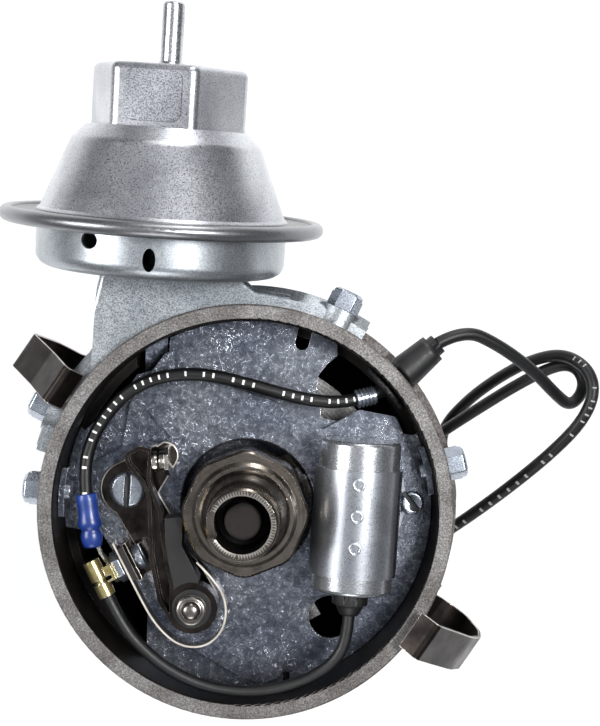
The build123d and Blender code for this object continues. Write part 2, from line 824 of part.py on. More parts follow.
clamp_low = flange_at + sheet_t          # underside of the diaphragm's rim
clamp_high = clamp_low + 0.5
dome_top_flange = clamp_high + sheet_t

with BuildPart() as vacuum_cup:
    with BuildSketch(unit_section) as cup_section:
        with BuildLine():
            Polyline(
                (5.5, cup_base), (cup_r, cup_base), (cup_r, flange_at), (flange_r, flange_at),
                (flange_r, clamp_low), (cup_r - sheet_t, clamp_low), (cup_r - sheet_t, cup_base + sheet_t),
                (5.5, cup_base + sheet_t),
                close=True,
            )
        make_face()
        fillet(corner(cup_section, cup_r, cup_base), 3.0)
        fillet(corner(cup_section, cup_r - sheet_t, cup_base + sheet_t), 2.2)
    revolve(axis=unit_axis)
    # vents in the top of the wall
    for turn, station, across, along in zip(vent_turn, vent_at, vent_w, vent_len):
        vent_plane = unit_plane(station)
        a = radians(turn)
        way = vent_plane.x_dir * -sin(a) + vent_plane.y_dir * cos(a)
        with BuildSketch(Plane(origin=vent_plane.origin + way * 20, x_dir=unit_dir, z_dir=way)):
            Ellipse(along / 2, across / 2)
        extrude(amount=15, mode=Mode.SUBTRACT)
write(vacuum_cup.part, "vacuum_cup")

with BuildPart() as vacuum_dome:
    with BuildSketch(unit_section) as dome_section:
        with BuildLine():
            Polyline(
                (0, dome_top_flange - sheet_t), (flange_r, dome_top_flange - sheet_t), (flange_r, dome_top_flange),
                (cone_low_r + 0.6, dome_top_flange), (cone_low_r - 0.4, dome_top_flange + 0.9),
                (cone_high_r + 1.6, cone_top - 3.6), (cone_high_r - 1.6, cone_top - 0.4), (0, cone_top),
                close=True,
            )
        make_face()
        fillet(corner(dome_section, cone_high_r + 1.6, cone_top - 3.6), 3.0)
    revolve(axis=unit_axis)
    # rolled bead that grips the cup's flange
    with BuildSketch(unit_section):
        with Locations((bead_r, clamp_low + 0.25)):
            Circle(bead_round)
    revolve(axis=unit_axis)
    # hexagonal spring housing
    with BuildSketch(unit_plane(cone_top - 2)) as hex_plan:
        RegularPolygon(hex_af / 2, 6, major_radius=False, rotation=hex_turn)
        fillet(hex_plan.vertices(), hex_round)
    extrude(amount=hex_top - cone_top + 2)
    fillet(vacuum_dome.faces().sort_by(Axis((0, 0, 0), unit_dir))[-1].edges(), 1.7)
    # hollow inside: cone, spring chamber, and the room of the clamped sheets
    with BuildSketch(unit_section):
        with BuildLine():
            Polyline(
                (0, flange_at - 3), (cone_low_r - 1.5, flange_at - 3), (cone_low_r - 1.5, dome_top_flange + 0.9),
                (cone_high_r - 0.4, cone_top - 4.4), (13.6, cone_top - 1.4), (13.6, hex_top - 1.2), (0, hex_top - 1.2),
                close=True,
            )
        make_face()
    revolve(axis=unit_axis, mode=Mode.SUBTRACT)
    with BuildSketch(unit_section):
        with Locations(((flange_r + 20) / 2, (flange_at + clamp_high) / 2)):
            Rectangle(flange_r - 20, clamp_high - flange_at)
    revolve(axis=unit_axis, mode=Mode.SUBTRACT)
    with BuildSketch(unit_section):
        with Locations(((flange_r + 20) / 2 - 1.5, flange_at - 2)):
            Rectangle(flange_r - 21.2, 4)
    revolve(axis=unit_axis, mode=Mode.SUBTRACT)
    with BuildSketch(unit_plane(hex_top - 3)):
        Circle(nipple_r)
    extrude(amount=6, mode=Mode.SUBTRACT)
write(vacuum_dome.part, "vacuum_dome")

with BuildPart() as vacuum_nipple:
    with BuildSketch(unit_section):
        with BuildLine():
            Polyline(
                (nipple_bore_r, hex_top - 2.4), (nipple_r + 1.6, hex_top - 2.4), (nipple_r + 1.6, hex_top - 1.2),
                (nipple_r, hex_top - 1.2), (nipple_r, hex_top), (nipple_r + 0.8, hex_top), (nipple_r, hex_top + 1.2),
                (nipple_r, nipple_top - 0.6), (nipple_r - 0.5, nipple_top), (nipple_bore_r, nipple_top),
                close=True,
            )
        make_face()
    revolve(axis=unit_axis)
write(vacuum_nipple.part, "vacuum_nipple")

disc_at = 60.5              # middle of the moving part of the diaphragm

with BuildPart() as diaphragm:
    with BuildSketch(unit_section):
        with BuildLine():
            Polyline(
                (0, disc_at - 0.25), (17, disc_at - 0.25), (24, clamp_low), (flange_r, clamp_low),
                (flange_r, clamp_high), (23.6, clamp_high), (16.6, disc_at + 0.25), (0, disc_at + 0.25),
                close=True,
            )
        make_face()
    revolve(axis=unit_axis)
write(diaphragm.part, "diaphragm")

plate_disc_r = 15.0
disc_t = 1.0

with BuildPart() as diaphragm_plates:
    for low in (disc_at - 0.25 - disc_t, disc_at + 0.25):
        with BuildSketch(unit_plane(low)):
            Circle(plate_disc_r)
        extrude(amount=disc_t)
write(diaphragm_plates.part, "diaphragm_plates")

with BuildPart() as diaphragm_spring:
    with BuildSketch(unit_plane(disc_at + 0.25 + disc_t)):
        Circle(10.5)
        Circle(9.3, mode=Mode.SUBTRACT)
    extrude(amount=hex_top - 1.2 - disc_at - 0.25 - disc_t - 1.3)
write(diaphragm_spring.part, "diaphragm_spring")

# the link: a flat strip with an eye, cranked up to the diaphragm
link_hole_r = link_pin_r + 0.4
link_end = (disc_at - 0.25 - disc_t) * unit_dir[1]
link_end_z = unit_z + (disc_at - 0.25 - disc_t) * unit_dir[2]

with BuildPart() as advance_link:
    with BuildSketch(Plane.YZ):
        with BuildLine():
            FilletPolyline(
                (link_pin_at[1], link_eye_z),
                (25.5, link_eye_z),
                (41.0, link_end_z - (link_end - 41.0) * tan(radians(unit_tilt))),
                (link_end, link_end_z),
                radius=3,
            )
        trace(line_width=link_t)
    extrude(amount=link_w / 2, both=True)
advance_link.part = Pos(unit_x, 0, 0) * advance_link.part
with BuildPart() as link_finish:
    add(advance_link.part)
    with BuildSketch(unit_plane(disc_at - 0.25 - disc_t)):
        Rectangle(120, 120)
    extrude(amount=10, mode=Mode.SUBTRACT)
    with BuildSketch(Plane.XY.offset(link_eye_z - link_t / 2)):
        with Locations(link_pin_at):
            Circle(link_eye_r)
    extrude(amount=link_t)
    with BuildSketch(Plane.XY.offset(link_eye_z - 3)):
        with Locations(link_pin_at):
            Circle(link_hole_r)
    extrude(amount=6, mode=Mode.SUBTRACT)
write(link_finish.part, "advance_link")

# ---------------------------------------------------------------- cap clips


hinge_eye_r = hinge_pin_r + running_gap + hinge_eye_wall
rim_in = rim_r - hinge_r        # the rim as the clips' hinges see it
rim_up = rim_z - hinge_z


def clip(angle, bends, radii):
    """A spring-steel cap clip, bent up from one strip. bends are its corners, out and up from the hinge."""
    clip_way = [(hinge_r + x, hinge_z + z) for x, z in bends]
    with BuildPart() as one:
        with BuildSketch(section_plane(angle)):
            with BuildLine():
                FilletPolyline(*clip_way, radius=radii)
            trace(line_width=clip_t)
            with Locations((hinge_r, hinge_z)):
                Circle(hinge_eye_r)
            with Locations((hinge_r, hinge_z)):
                Circle(hinge_pin_r + running_gap, mode=Mode.SUBTRACT)
        extrude(amount=clip_w / 2, both=True)
    return one.part


clip_foot = hinge_eye_r - clip_t / 2
hook_left = [(clip_foot, 0), (3.0, 5.2), (8.6, 12.9), (clip_bow, 25.6)]
hook_left += [(rim_in + 9.6, rim_up - 7.2), (rim_in + 4.0, rim_up + 1.6), (rim_in + 0.9, rim_up - 2.6)]
write(clip(clip_angles[0], hook_left, (6, 12, 1.8, 8, 1.0)), "clip_left")
hook_right = [(clip_foot, 0), (5.0, -1.6), (11.6, -2.6), (clip_belly, 11.0), (clip_belly - 1.6, 21.5)]
hook_right += [(rim_in + 13.1, rim_up - 10.2), (rim_in + 2.1, rim_up + 5.6), (rim_in - 2.0, rim_up + 3.4)]
write(clip(clip_angles[1], hook_right, (3, 5, 12, 14, 20, 1.2)), "clip_right")

hinge_pins = []
for angle in clip_angles:
    with BuildPart() as hinge_pin:
        with BuildSketch(section_plane(angle)):
            with Locations((hinge_r, hinge_z)):
                Circle(hinge_pin_r)
        extrude(amount=clip_w / 2 + 0.3 + ear_t, both=True)
    hinge_pins.append(hinge_pin.part)
write(Compound(children=hinge_pins), "clip_pins")

# ---------------------------------------------------------------- contact set

arm_outline = [
    (-14.9, -17.8), (-16.6, -12.0), (-17.8, -6.0), (-18.6, -1.5), (-20.5, 2.6), (-21.65, 5.4), (-21.65, 12.4),
    (-24.5, 12.9), (-28.0, 10.8), (-27.0, 8.2), (-23.4, 4.6), (-21.9, 0.8), (-21.4, -4.0), (-20.7, -12.0),
    (-18.2, -21.5), (-14.5, -26.6),
]

with BuildPart() as contact_base:
    with BuildSketch(Plane.XY.offset(plate_top)):
        with BuildSketch(mode=Mode.PRIVATE) as lower_hull:
            with Locations(lock_at, pivot_at):
                Circle(5.4)
            make_hull()
        add(lower_hull.sketch)
        with BuildSketch(mode=Mode.PRIVATE) as upper_hull:
            with Locations(lock_at):
                Circle(6.4)
            with Locations((-19.6, 10.2)):
                Circle(3.2)
            make_hull()
        add(upper_hull.sketch)
        Circle(collar_out_r + 0.6, mode=Mode.SUBTRACT)
        with Locations(lock_at):
            Circle(2.1, mode=Mode.SUBTRACT)
        with Locations(pivot_at):
            Circle(post_r - 0.6, mode=Mode.SUBTRACT)
        with BuildLine():
            Polyline(
                (-26.0, 13.6), (-25.9, 19.0), (-24.4, 20.3), (-21.2, 17.0), (-18.6, 14.5), (-21.4, 12.4),
                close=True,
            )
        make_face(mode=Mode.SUBTRACT)
    extrude(amount=base_t)
write(contact_base.part, "contact_base")

contact_way = fixed_contact_turn + 180      # from the fixed contact towards the moving one


def contact_plane(shift):
    """Plane across the contacts, shift beyond the fixed contact's face."""
    a = radians(contact_way)
    x = fixed_contact_at[0] + shift * cos(a)
    y = fixed_contact_at[1] + shift * sin(a)
    return Plane(origin=(x, y, contact_z), x_dir=(-sin(a), cos(a), 0), z_dir=(cos(a), sin(a), 0))


with BuildPart() as fixed_contact:
    # upright leaf of the support, with its foot on the base
    with BuildSketch(contact_plane(-contact_t - 1.0)):
        with BuildLine():
            Polyline(
                (-3.2, base_top - contact_z), (3.2, base_top - contact_z), (3.2, 1.2), (1.6, 3.0), (-1.6, 3.0), (-3.2, 1.2),
                close=True,
            )
        make_face()
    extrude(amount=1.0)
    # contact button
    with BuildSketch(contact_plane(-contact_t)):
        Circle(contact_r)
    extrude(amount=contact_t)
write(fixed_contact.part, "fixed_contact")

with BuildPart() as moving_contact:
    with BuildSketch(contact_plane(contact_open)):
        Circle(contact_r)
    extrude(amount=contact_t)
write(moving_contact.part, "moving_contact")

with BuildPart() as breaker_arm:
    with BuildSketch(Plane.XY.offset(arm_low_z)) as arm_plan:
        with BuildLine():
            Polyline(*arm_outline, close=True)
        make_face()
        fillet(corner(arm_plan, -24.5, 12.9), 1.2)
        fillet(corner(arm_plan, -28.0, 10.8), 1.4)
        with Locations(pivot_at):
            Circle(arm_bush_r + 1.3)
    extrude(amount=arm_high_z - arm_low_z)
    # the arm is a pressed channel, open upwards
    with BuildSketch(Plane.XY.offset(arm_low_z + 1.0)):
        with BuildLine():
            Polyline(*arm_outline, close=True)
        make_face()
        offset(amount=-0.8)
    extrude(amount=arm_high_z, mode=Mode.SUBTRACT)
    with BuildSketch(Plane.XY.offset(arm_low_z - 5)):
        with Locations(pivot_at):
            Circle(arm_bush_r)
    extrude(amount=20, mode=Mode.SUBTRACT)
    # flat where the moving contact is riveted on
    with BuildSketch(contact_plane(contact_open + contact_t - 10)):
        Rectangle(9, 12)
    extrude(amount=10, mode=Mode.SUBTRACT)
write(breaker_arm.part, "breaker_arm")

with BuildPart() as rubbing_block:
    with BuildSketch(Plane.XY.offset(arm_low_z - 0.6)) as block_plan:
        with BuildLine():
            Polyline(
                (-17.9, -2.7), (-14.2, -2.2), (-13.78, -2.8), (-13.6, -8.6), (-11.2, -12.6), (-9.4, -15.5),
                (-9.4, -19.5), (-15.5, -19.5), (-17.3, -10.0),
                close=True,
            )
        make_face()
        Circle(lobe_r + 0.3, mode=Mode.SUBTRACT)
        with Locations(pivot_at):
            Circle(arm_bush_r + 1.3, mode=Mode.SUBTRACT)
        with BuildLine():
            Polyline(*arm_outline, close=True)
        make_face(mode=Mode.SUBTRACT)
    extrude(amount=arm_high_z - arm_low_z + 1.2)
write(rubbing_block.part, "rubbing_block")

with BuildPart() as arm_bushing:
    with BuildSketch(Plane.XY.offset(base_top + 0.2)):
        with Locations(pivot_at):
            Circle(arm_bush_r)
            Circle(post_r + running_gap, mode=Mode.SUBTRACT)
    extrude(amount=arm_high_z + 0.6 - base_top - 0.2)
write(arm_bushing.part, "arm_bushing")

clip_ring_z = arm_high_z + 0.6 + end_gap

with BuildPart() as pivot_post:
    with BuildSketch(Plane.XY.offset(plate_z)):
        with Locations(pivot_at):
            Circle(post_r - 0.6)
    extrude(amount=base_top - plate_z)
    with BuildSketch(Plane.XY.offset(base_top)):
        with Locations(pivot_at):
            Circle(post_r)
    extrude(amount=clip_ring_z - base_top)
    with BuildSketch(Plane.XY.offset(clip_ring_z)):
        with Locations(pivot_at):
            Circle(post_r - 0.4)
    extrude(amount=2.2)
    fillet(pivot_post.faces().sort_by(Axis.Z)[-1].edges(), 0.7)
write(pivot_post.part, "pivot_post")

with BuildPart() as pivot_clip:
    with BuildSketch(Plane.XY.offset(clip_ring_z)):
        with Locations(pivot_at):
            Circle(post_r + 1.0)
            Circle(post_r - 0.4, mode=Mode.SUBTRACT)
    extrude(amount=0.8)
write(pivot_clip.part, "pivot_clip")

lock_head_r = 4.2

with BuildPart() as lock_screw:
    with BuildSketch(Plane.XY.offset(base_top)):
        with Locations(lock_at):
            Circle(lock_head_r)
    extrude(amount=2.6)
    fillet(lock_screw.faces().sort_by(Axis.Z)[-1].edges(), 1.2)
    with BuildSketch(Plane.XY.offset(base_top + 1.3)):
        with Locations(lock_at):
            Rectangle(1.1, 3 * lock_head_r)
    extrude(amount=2, mode=Mode.SUBTRACT)
    with BuildSketch(Plane.XY.offset(plate_z)):
        with Locations(lock_at):
            Circle(1.9)
    extrude(amount=base_top - plate_z)
write(lock_screw.part, "lock_screw")

# the arm's leaf spring, from the terminal round the pivot to the block
spring_way = [
    stack_point(0, -5.6), stack_point(0, 9.5), (-17.6, -27.4), (-12.6, -31.0), (-7.2, -30.6), (-3.4, -26.4),
    (-3.2, -20.4), (-6.6, -15.2), (-10.2, -12.2),
]

with BuildPart() as arm_spring:
    with BuildSketch(Plane.XY.offset(arm_low_z + 0.1)):
        with BuildLine():
            FilletPolyline(*spring_way, radius=2.2)
        trace(line_width=spring_t)
    extrude(amount=4.0)
    with BuildSketch(stack_plane(-2)):
        Circle(1.5 + 0.1)
    extrude(amount=4, mode=Mode.SUBTRACT)
write(arm_spring.part, "arm_spring")

# ---------------------------------------------------------------- terminal stack

stack_screw_r = 1.5

with BuildPart() as terminal_bracket:
    with BuildSketch(stack_plane(-2.5)):
        with Locations((0, 0)):
            Rectangle(9, 2 * 3.8)
        with Locations((0, 0)):
            Circle(stack_screw_r, mode=Mode.SUBTRACT)
    extrude(amount=1.0)
    # foot on the base
    foot_mid = stack_point(-3.6, 1.0)
    with BuildSketch(Plane.XY.offset(base_top)):
        with Locations(foot_mid):
            Rectangle(4.2, 7, rotation=stack_turn)
    extrude(amount=0.8)
write(terminal_bracket.part, "terminal_bracket")

with BuildPart() as terminal_insulator:
    with BuildSketch(stack_plane(-1.5)):
        Rectangle(8, 7)
        Circle(stack_screw_r, mode=Mode.SUBTRACT)
    extrude(amount=1.5 - spring_t / 2)
    with BuildSketch(stack_plane(spring_t / 2)):
        Circle(3.4)
        Circle(stack_screw_r, mode=Mode.SUBTRACT)
    extrude(amount=0.5)
write(terminal_insulator.part, "terminal_insulator")

nut_out = spring_t / 2 + 0.5

with BuildPart() as terminal_screw:
    with BuildSketch(stack_plane(-4.3)):
        Circle(2.8)
    extrude(amount=1.8)
    with BuildSketch(stack_plane(-4.3)):
        Rectangle(10, 0.9)
    extrude(amount=0.8, mode=Mode.SUBTRACT)
    with BuildSketch(stack_plane(-2.5)):
        Circle(stack_screw_r)
    extrude(amount=2.5 + nut_out + 4.6)
write(terminal_screw.part, "terminal_screw")

with BuildPart() as terminal_nut:
    with BuildSketch(stack_plane(nut_out)):
        RegularPolygon(nut_af / 2, 6, major_radius=False)
        Circle(stack_screw_r, mode=Mode.SUBTRACT)
    extrude(amount=1.9)
write(terminal_nut.part, "terminal_nut")

ring_out = nut_out + 1.9
barrel_out = 6.2
barrel_z = 78.6 - stack_z

with BuildPart() as condenser_terminal:
    # ring tongue under the screw's end
    with BuildSketch(stack_plane(ring_out)):
        Circle(3.1)
        with Locations((0, 2.4)):
            Rectangle(3.6, 4.4)
        Circle(stack_screw_r, mode=Mode.SUBTRACT)
    extrude(amount=0.6)
    # crimp barrel, joined by a short web
    with BuildSketch(stack_plane(ring_out)):
        with Locations((0, barrel_z + 0.6)):
            Rectangle(3.6, 0.8)
    extrude(amount=barrel_out - ring_out)
    barrel_plane = Plane(
        origin=(*stack_point(barrel_out, -4.2), stack_z + barrel_z),
        z_dir=Vector(*stack_point(0, 1), 0) - Vector(*stack_point(0, 0), 0),
    )
    with BuildSketch(barrel_plane):
        Circle(1.95)
    extrude(amount=8.6)
    # notch between the wire crimp and the insulation crimp
    with BuildSketch(barrel_plane.offset(4.6)):
        Circle(3)
        Circle(condenser_lead_r, mode=Mode.SUBTRACT)
    extrude(amount=0.9, mode=Mode.SUBTRACT)
write(condenser_terminal.part, "condenser_terminal")

sleeve_top = Vector(-35.7, 0.9, 78.0)
sleeve_low = Vector(-33.5, -10.6, 78.0)

with BuildPart() as primary_terminal:
    # ring tongue outside the condenser's
    with BuildSketch(stack_plane(ring_out + 0.6)):
        Circle(3.1)
        with BuildLine():
            Polyline((-2.2, 2.6), (-5.0, 3.8), (-8.4, 3.8), (-8.4, 2.2), (-5.0, 2.2), (-1.6, -2.2), close=True)
        make_face()
        Circle(stack_screw_r, mode=Mode.SUBTRACT)
    extrude(amount=0.6)
write(primary_terminal.part, "primary_terminal")

with BuildPart() as primary_terminal_sleeve:
    with BuildSketch(Plane(origin=sleeve_top, z_dir=sleeve_low - sleeve_top)):
        Circle(2.0)
    with BuildSketch(Plane(origin=sleeve_low, z_dir=sleeve_low - sleeve_top)):
        Ellipse(2.4, 1.7, rotation=90)
    loft()
    with BuildSketch(stack_plane(ring_out + 0.6)):
        with Locations((-6.5, 3.0)):
            Rectangle(3.8, 1.6)
    extrude(amount=0.6, mode=Mode.SUBTRACT)
write(primary_terminal_sleeve.part, "primary_terminal_sleeve")

# ---------------------------------------------------------------- condenser

can_z = plate_top + strap_t + can_r

with BuildPart() as condenser_can:
    with BuildSketch(Plane.XZ.offset(-can_y[1])):
        with Locations((can_x, can_z)):
            Circle(can_r)
    extrude(amount=can_y[1] - can_y[0])
    fillet(condenser_can.edges().filter_by(GeomType.CIRCLE), 1.0)
write(condenser_can.part, "condenser_can")

with BuildPart() as condenser_strap:
    with BuildSketch(Plane.XZ.offset(-strap_y[1])):
        with Locations((can_x, can_z)):
            Circle(can_r + strap_t)
            Circle(can_r, mode=Mode.SUBTRACT)
    extrude(amount=strap_y[1] - strap_y[0])
    # foot that the screw holds
    with BuildSketch(Plane.XY.offset(plate_top)):
        with BuildLine():
            Polyline(
                (can_x, 11.0), (33.5, 13.8), (36.9, 13.6), (39.9, 5.9), (40.2, -0.3), (38.2, -9.7), (33.5, -10.4),
                (can_x, -11.0),
                close=True,
            )
        make_face()
        with Locations(condenser_screw_at):
            Circle(1.6, mode=Mode.SUBTRACT)
    extrude(amount=strap_t)
    with BuildSketch(Plane.XZ.offset(-30)):
        with Locations((can_x, can_z)):
            Circle(can_r)
    extrude(amount=60, mode=Mode.SUBTRACT)
    # three embossed rings along the crown
    with BuildSketch(Plane.XY.offset(can_z + can_r + 0.3)):
        with Locations((can_x - 0.2, 8.7), (can_x - 0.2, 1.8), (can_x - 0.2, -5.1)):
            Circle(1.4)
            Circle(0.8, mode=Mode.SUBTRACT)
    extrude(amount=strap_t - 0.3 + 0.2)
write(condenser_strap.part, "condenser_strap")

with BuildPart() as condenser_seal:
    with BuildSketch(Plane.XZ.offset(-can_y[0])):
        with Locations((can_x, can_z)):
            Circle(4.0)
    extrude(amount=3.0)
    with BuildSketch(Plane.XZ.offset(-can_y[0] + 3.0)) as cone_root:
        with Locations((can_x, can_z)):
            Circle(3.4)
    with BuildSketch(Plane.XZ.offset(-can_y[0] + 5.5)) as cone_tip:
        with Locations((can_x, can_z)):
            Circle(2.1)
    loft([cone_root.sketch, cone_tip.sketch])
write(condenser_seal.part, "condenser_seal")

with BuildPart() as condenser_screw:
    with BuildSketch(Plane.XY.offset(plate_top + strap_t)):
        with Locations(condenser_screw_at):
            Circle(2.7)
    extrude(amount=2.2)
    fillet(condenser_screw.faces().sort_by(Axis.Z)[-1].edges(), 0.7)
    with BuildSketch(Plane.XY.offset(plate_top + strap_t + 1.2)):
        with Locations(condenser_screw_at):
            Rectangle(1.0, 12, rotation=41)
    extrude(amount=2, mode=Mode.SUBTRACT)
    with BuildSketch(Plane.XY.offset(plate_z)):
        with Locations(condenser_screw_at):
            Circle(1.6)
    extrude(amount=plate_top + strap_t - plate_z)
write(condenser_screw.part, "condenser_screw")

# ---------------------------------------------------------------- leads


def cord(points, r):
    """A cord's tube along its route of straight runs and tangent arcs."""
    radii = route_radii(points)
    print("arc radii:", [round(x, 1) for x in radii], "least in diameters:", round(min(radii) / (2 * r), 1))
    with BuildPart() as tube:
        with BuildLine() as way:
            FilletPolyline(*points, radius=radii)
        first_run = (Vector(*points[1]) - Vector(*points[0])).normalized()
        with BuildSketch(Plane(origin=points[0], z_dir=first_run)):
            Circle(r)
        sweep()
    length = sum(edge.length for edge in way.edges())
    share = tube.part.volume / (3.141592653589793 * r * r * length)
    print("cord length", round(length, 1), "volume over section times length", round(share, 4))
    return tube.part


seal_tip_y = can_y[0] - 5.5
barrel_end = (*stack_point(barrel_out, 4.4), stack_z + barrel_z)
condenser_lead_route = [
    (can_x, seal_tip_y, can_z),
    (can_x, seal_tip_y - 5.5, can_z),
    (22.2, -32.2, 79.1),
    (16.9, -36.4, 79.0),
    (10.2, -39.2, 79.2),
    (2.6, -40.6, 79.0),
    (-6.0, -40.0, 79.0),
    (-14.2, -37.0, 79.1),
    (-21.2, -32.2, 78.9),
    (-26.0, -27.0, 78.7),
    barrel_end,
]
write(cord(condenser_lead_route, condenser_lead_r), "condenser_lead")

inner_face_r = bowl_r - 1.8
inner_end = polar(inner_face_r, boot_angle, boot_z)
before_boot = (inner_end[0] - 3.7, inner_end[1] - 1.7, inner_end[2] + 0.4)
inner_lead_route = [
    (sleeve_top.X, sleeve_top.Y + 0.05, sleeve_top.Z),
    (-36.6, 6.6, 77.8),
    (-35.6, 13.2, 77.2),
    (-32.6, 19.2, 76.9),
    (-28.4, 24.4, 77.0),
    (-23.0, 27.8, 77.2),
    (-16.6, 29.4, 77.3),
    (-9.8, 29.6, 77.2),
    (-2.2, 28.3, 77.0),
    (5.6, 26.6, 76.6),
    (12.6, 25.4, 76.0),
    (19.4, 25.3, 75.2),
    before_boot,
    inner_end,
]
write(cord(inner_lead_route, lead_r), "primary_lead_inner")

ferrule_r = 2.1
ferrule_len = 4.4
ferrule_way = (Vector(*before_boot) - Vector(*inner_lead_route[-3])).normalized()
ferrule_start = Vector(*before_boot) - ferrule_way * 2.4

with BuildPart() as lead_ferrule:
    with BuildSketch(Plane(origin=ferrule_start, z_dir=ferrule_way)):
        Circle(ferrule_r)
    extrude(amount=ferrule_len)
    add(cord(inner_lead_route, lead_r + 0.1), mode=Mode.SUBTRACT)
write(lead_ferrule.part, "lead_ferrule")

boot_tip = polar(boot_reach, boot_angle, boot_z)

with BuildPart() as lead_grommet:
    # sleeve outside the bowl
    with BuildSketch(outward_plane(boot_angle, rim_r - 3, boot_z)):
        Circle(boot_root_r)
    with BuildSketch(outward_plane(boot_angle, boot_reach - 1.6, boot_z)):
        Circle(boot_tip_r)
    loft()
    with BuildSketch(outward_plane(boot_angle, boot_reach - 1.6, boot_z)):
        Circle(boot_tip_r - 0.9)
    extrude(amount=1.6)
    with BuildSketch(Plane.XY.offset(boot_z - 20)):
        Circle(rim_r)
    extrude(amount=40, mode=Mode.SUBTRACT)
    # neck through the wall and flange inside it
    with BuildSketch(outward_plane(boot_angle, bowl_r - 0.6, boot_z)):
        Circle(boot_root_r - 0.6)
    extrude(amount=rim_wall + 1.0)
    with BuildSketch(outward_plane(boot_angle, inner_face_r, boot_z)):
        Circle(boot_flange_r)
    extrude(amount=bowl_r - inner_face_r - 0.4)
    chamfer(
        lead_grommet.faces().sort_by_distance(polar(inner_face_r, boot_angle, boot_z))[0].edges(), 0.5
    )
write(lead_grommet.part, "lead_grommet")

primary_lead_route = [
    boot_tip,
    (46.2, 43.8, 73.2),
    (54.8, 40.6, 70.2),
    (63.6, 35.4, 66.0),
    (70.4, 29.8, 61.0),
    (74.2, 27.4, 58.0),
    (77.2, 29.8, 56.0),
    (78.0, 33.6, 54.6),
    (75.8, 36.8, 53.6),
    (71.6, 36.8, 52.2),
    (63.4, 31.4, 48.2),
    (54.8, 24.4, 43.0),
    (46.4, 17.2, 37.2),
    (39.6, 10.6, 32.4),
    (35.6, 2.6, 29.0),
    (36.6, -6.0, 26.8),
    (43.6, -11.6, 25.2),
    (51.0, -7.4, 25.0),
    (52.0, 1.6, 26.2),
    (48.4, 10.0, 28.0),
    (47.4, 18.0, 30.6),
    (53.2, 26.2, 35.2),
    (59.8, 32.8, 42.4),
    (66.2, 37.6, 49.4),
    (72.4, 39.6, 55.4),
    (77.4, 36.8, 60.0),
    (79.2, 31.4, 62.0),
    (77.2, 24.4, 61.0),
    (71.8, 16.8, 57.8),
    (64.4, 8.4, 53.2),
    (56.0, -0.4, 47.2),
    (48.6, -7.8, 40.6),
    (41.0, -14.6, 34.6),
    (33.0, -20.6, 29.4),
    (25.0, -26.8, 24.8),
]
write(cord(primary_lead_route, lead_r), "primary_lead")

lead_way = (Vector(*primary_lead_route[-1]) - Vector(*primary_lead_route[-2])).normalized()
lead_end = Vector(*primary_lead_route[-1])
with BuildPart() as lead_terminal:
    # insulated barrel, then a flat ring for a stud
    with BuildSketch(Plane(origin=lead_end, z_dir=lead_way)):
        Circle(2.3)
    extrude(amount=8)
    ring_face = Vector(0, 0, 1).cross(lead_way).cross(lead_way) * -1
    ring_plane = Plane(origin=lead_end + lead_way * 15, x_dir=lead_way, z_dir=ring_face)
    with BuildSketch(ring_plane.offset(-0.45)):
        Circle(4.2)
        with Locations((-4.5, 0)):
            Rectangle(6, 3.4)
        Circle(2.2, mode=Mode.SUBTRACT)
    extrude(amount=0.9)
write(lead_terminal.part, "lead_terminal")
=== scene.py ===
"""Looks of a breaker-point ignition distributor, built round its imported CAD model.

Everything is in metres, in the CAD model's frame: +Z is up the shaft, the origin is on the
shaft at the face that seats on the engine, and +Y is the side of the vacuum unit.
"""

import json
import math

import bpy
from mathutils import Matrix, Vector

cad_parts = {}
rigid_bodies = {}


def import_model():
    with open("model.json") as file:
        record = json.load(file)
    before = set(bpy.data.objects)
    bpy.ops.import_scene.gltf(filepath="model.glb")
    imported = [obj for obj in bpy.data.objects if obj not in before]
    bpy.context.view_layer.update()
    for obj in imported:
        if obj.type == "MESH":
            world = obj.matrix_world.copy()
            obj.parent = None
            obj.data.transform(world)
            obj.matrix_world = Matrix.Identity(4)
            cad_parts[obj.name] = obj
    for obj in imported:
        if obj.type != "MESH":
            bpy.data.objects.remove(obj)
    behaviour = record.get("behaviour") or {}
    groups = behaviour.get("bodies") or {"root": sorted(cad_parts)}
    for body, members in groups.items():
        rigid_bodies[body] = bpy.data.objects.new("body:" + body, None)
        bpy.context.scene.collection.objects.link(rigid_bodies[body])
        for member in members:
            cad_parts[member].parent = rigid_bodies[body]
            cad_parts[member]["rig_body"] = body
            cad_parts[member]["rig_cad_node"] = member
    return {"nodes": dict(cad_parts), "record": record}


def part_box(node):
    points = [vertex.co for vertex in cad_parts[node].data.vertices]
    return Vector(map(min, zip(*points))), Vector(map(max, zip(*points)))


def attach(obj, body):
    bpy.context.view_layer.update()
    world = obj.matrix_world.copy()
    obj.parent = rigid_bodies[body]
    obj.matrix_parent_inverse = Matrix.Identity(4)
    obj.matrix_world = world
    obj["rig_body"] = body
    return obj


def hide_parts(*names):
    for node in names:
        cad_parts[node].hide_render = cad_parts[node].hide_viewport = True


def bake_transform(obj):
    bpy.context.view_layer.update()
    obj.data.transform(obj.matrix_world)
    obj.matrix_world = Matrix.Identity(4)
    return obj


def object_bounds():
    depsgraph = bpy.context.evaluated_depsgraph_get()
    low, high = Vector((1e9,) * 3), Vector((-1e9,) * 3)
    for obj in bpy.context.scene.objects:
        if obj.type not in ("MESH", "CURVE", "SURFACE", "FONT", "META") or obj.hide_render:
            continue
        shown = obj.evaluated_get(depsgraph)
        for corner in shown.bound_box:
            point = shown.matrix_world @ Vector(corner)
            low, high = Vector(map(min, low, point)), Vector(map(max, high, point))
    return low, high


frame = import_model()
cad_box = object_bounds()
MM = 0.001

# ---------------------------------------------------------------- driving values

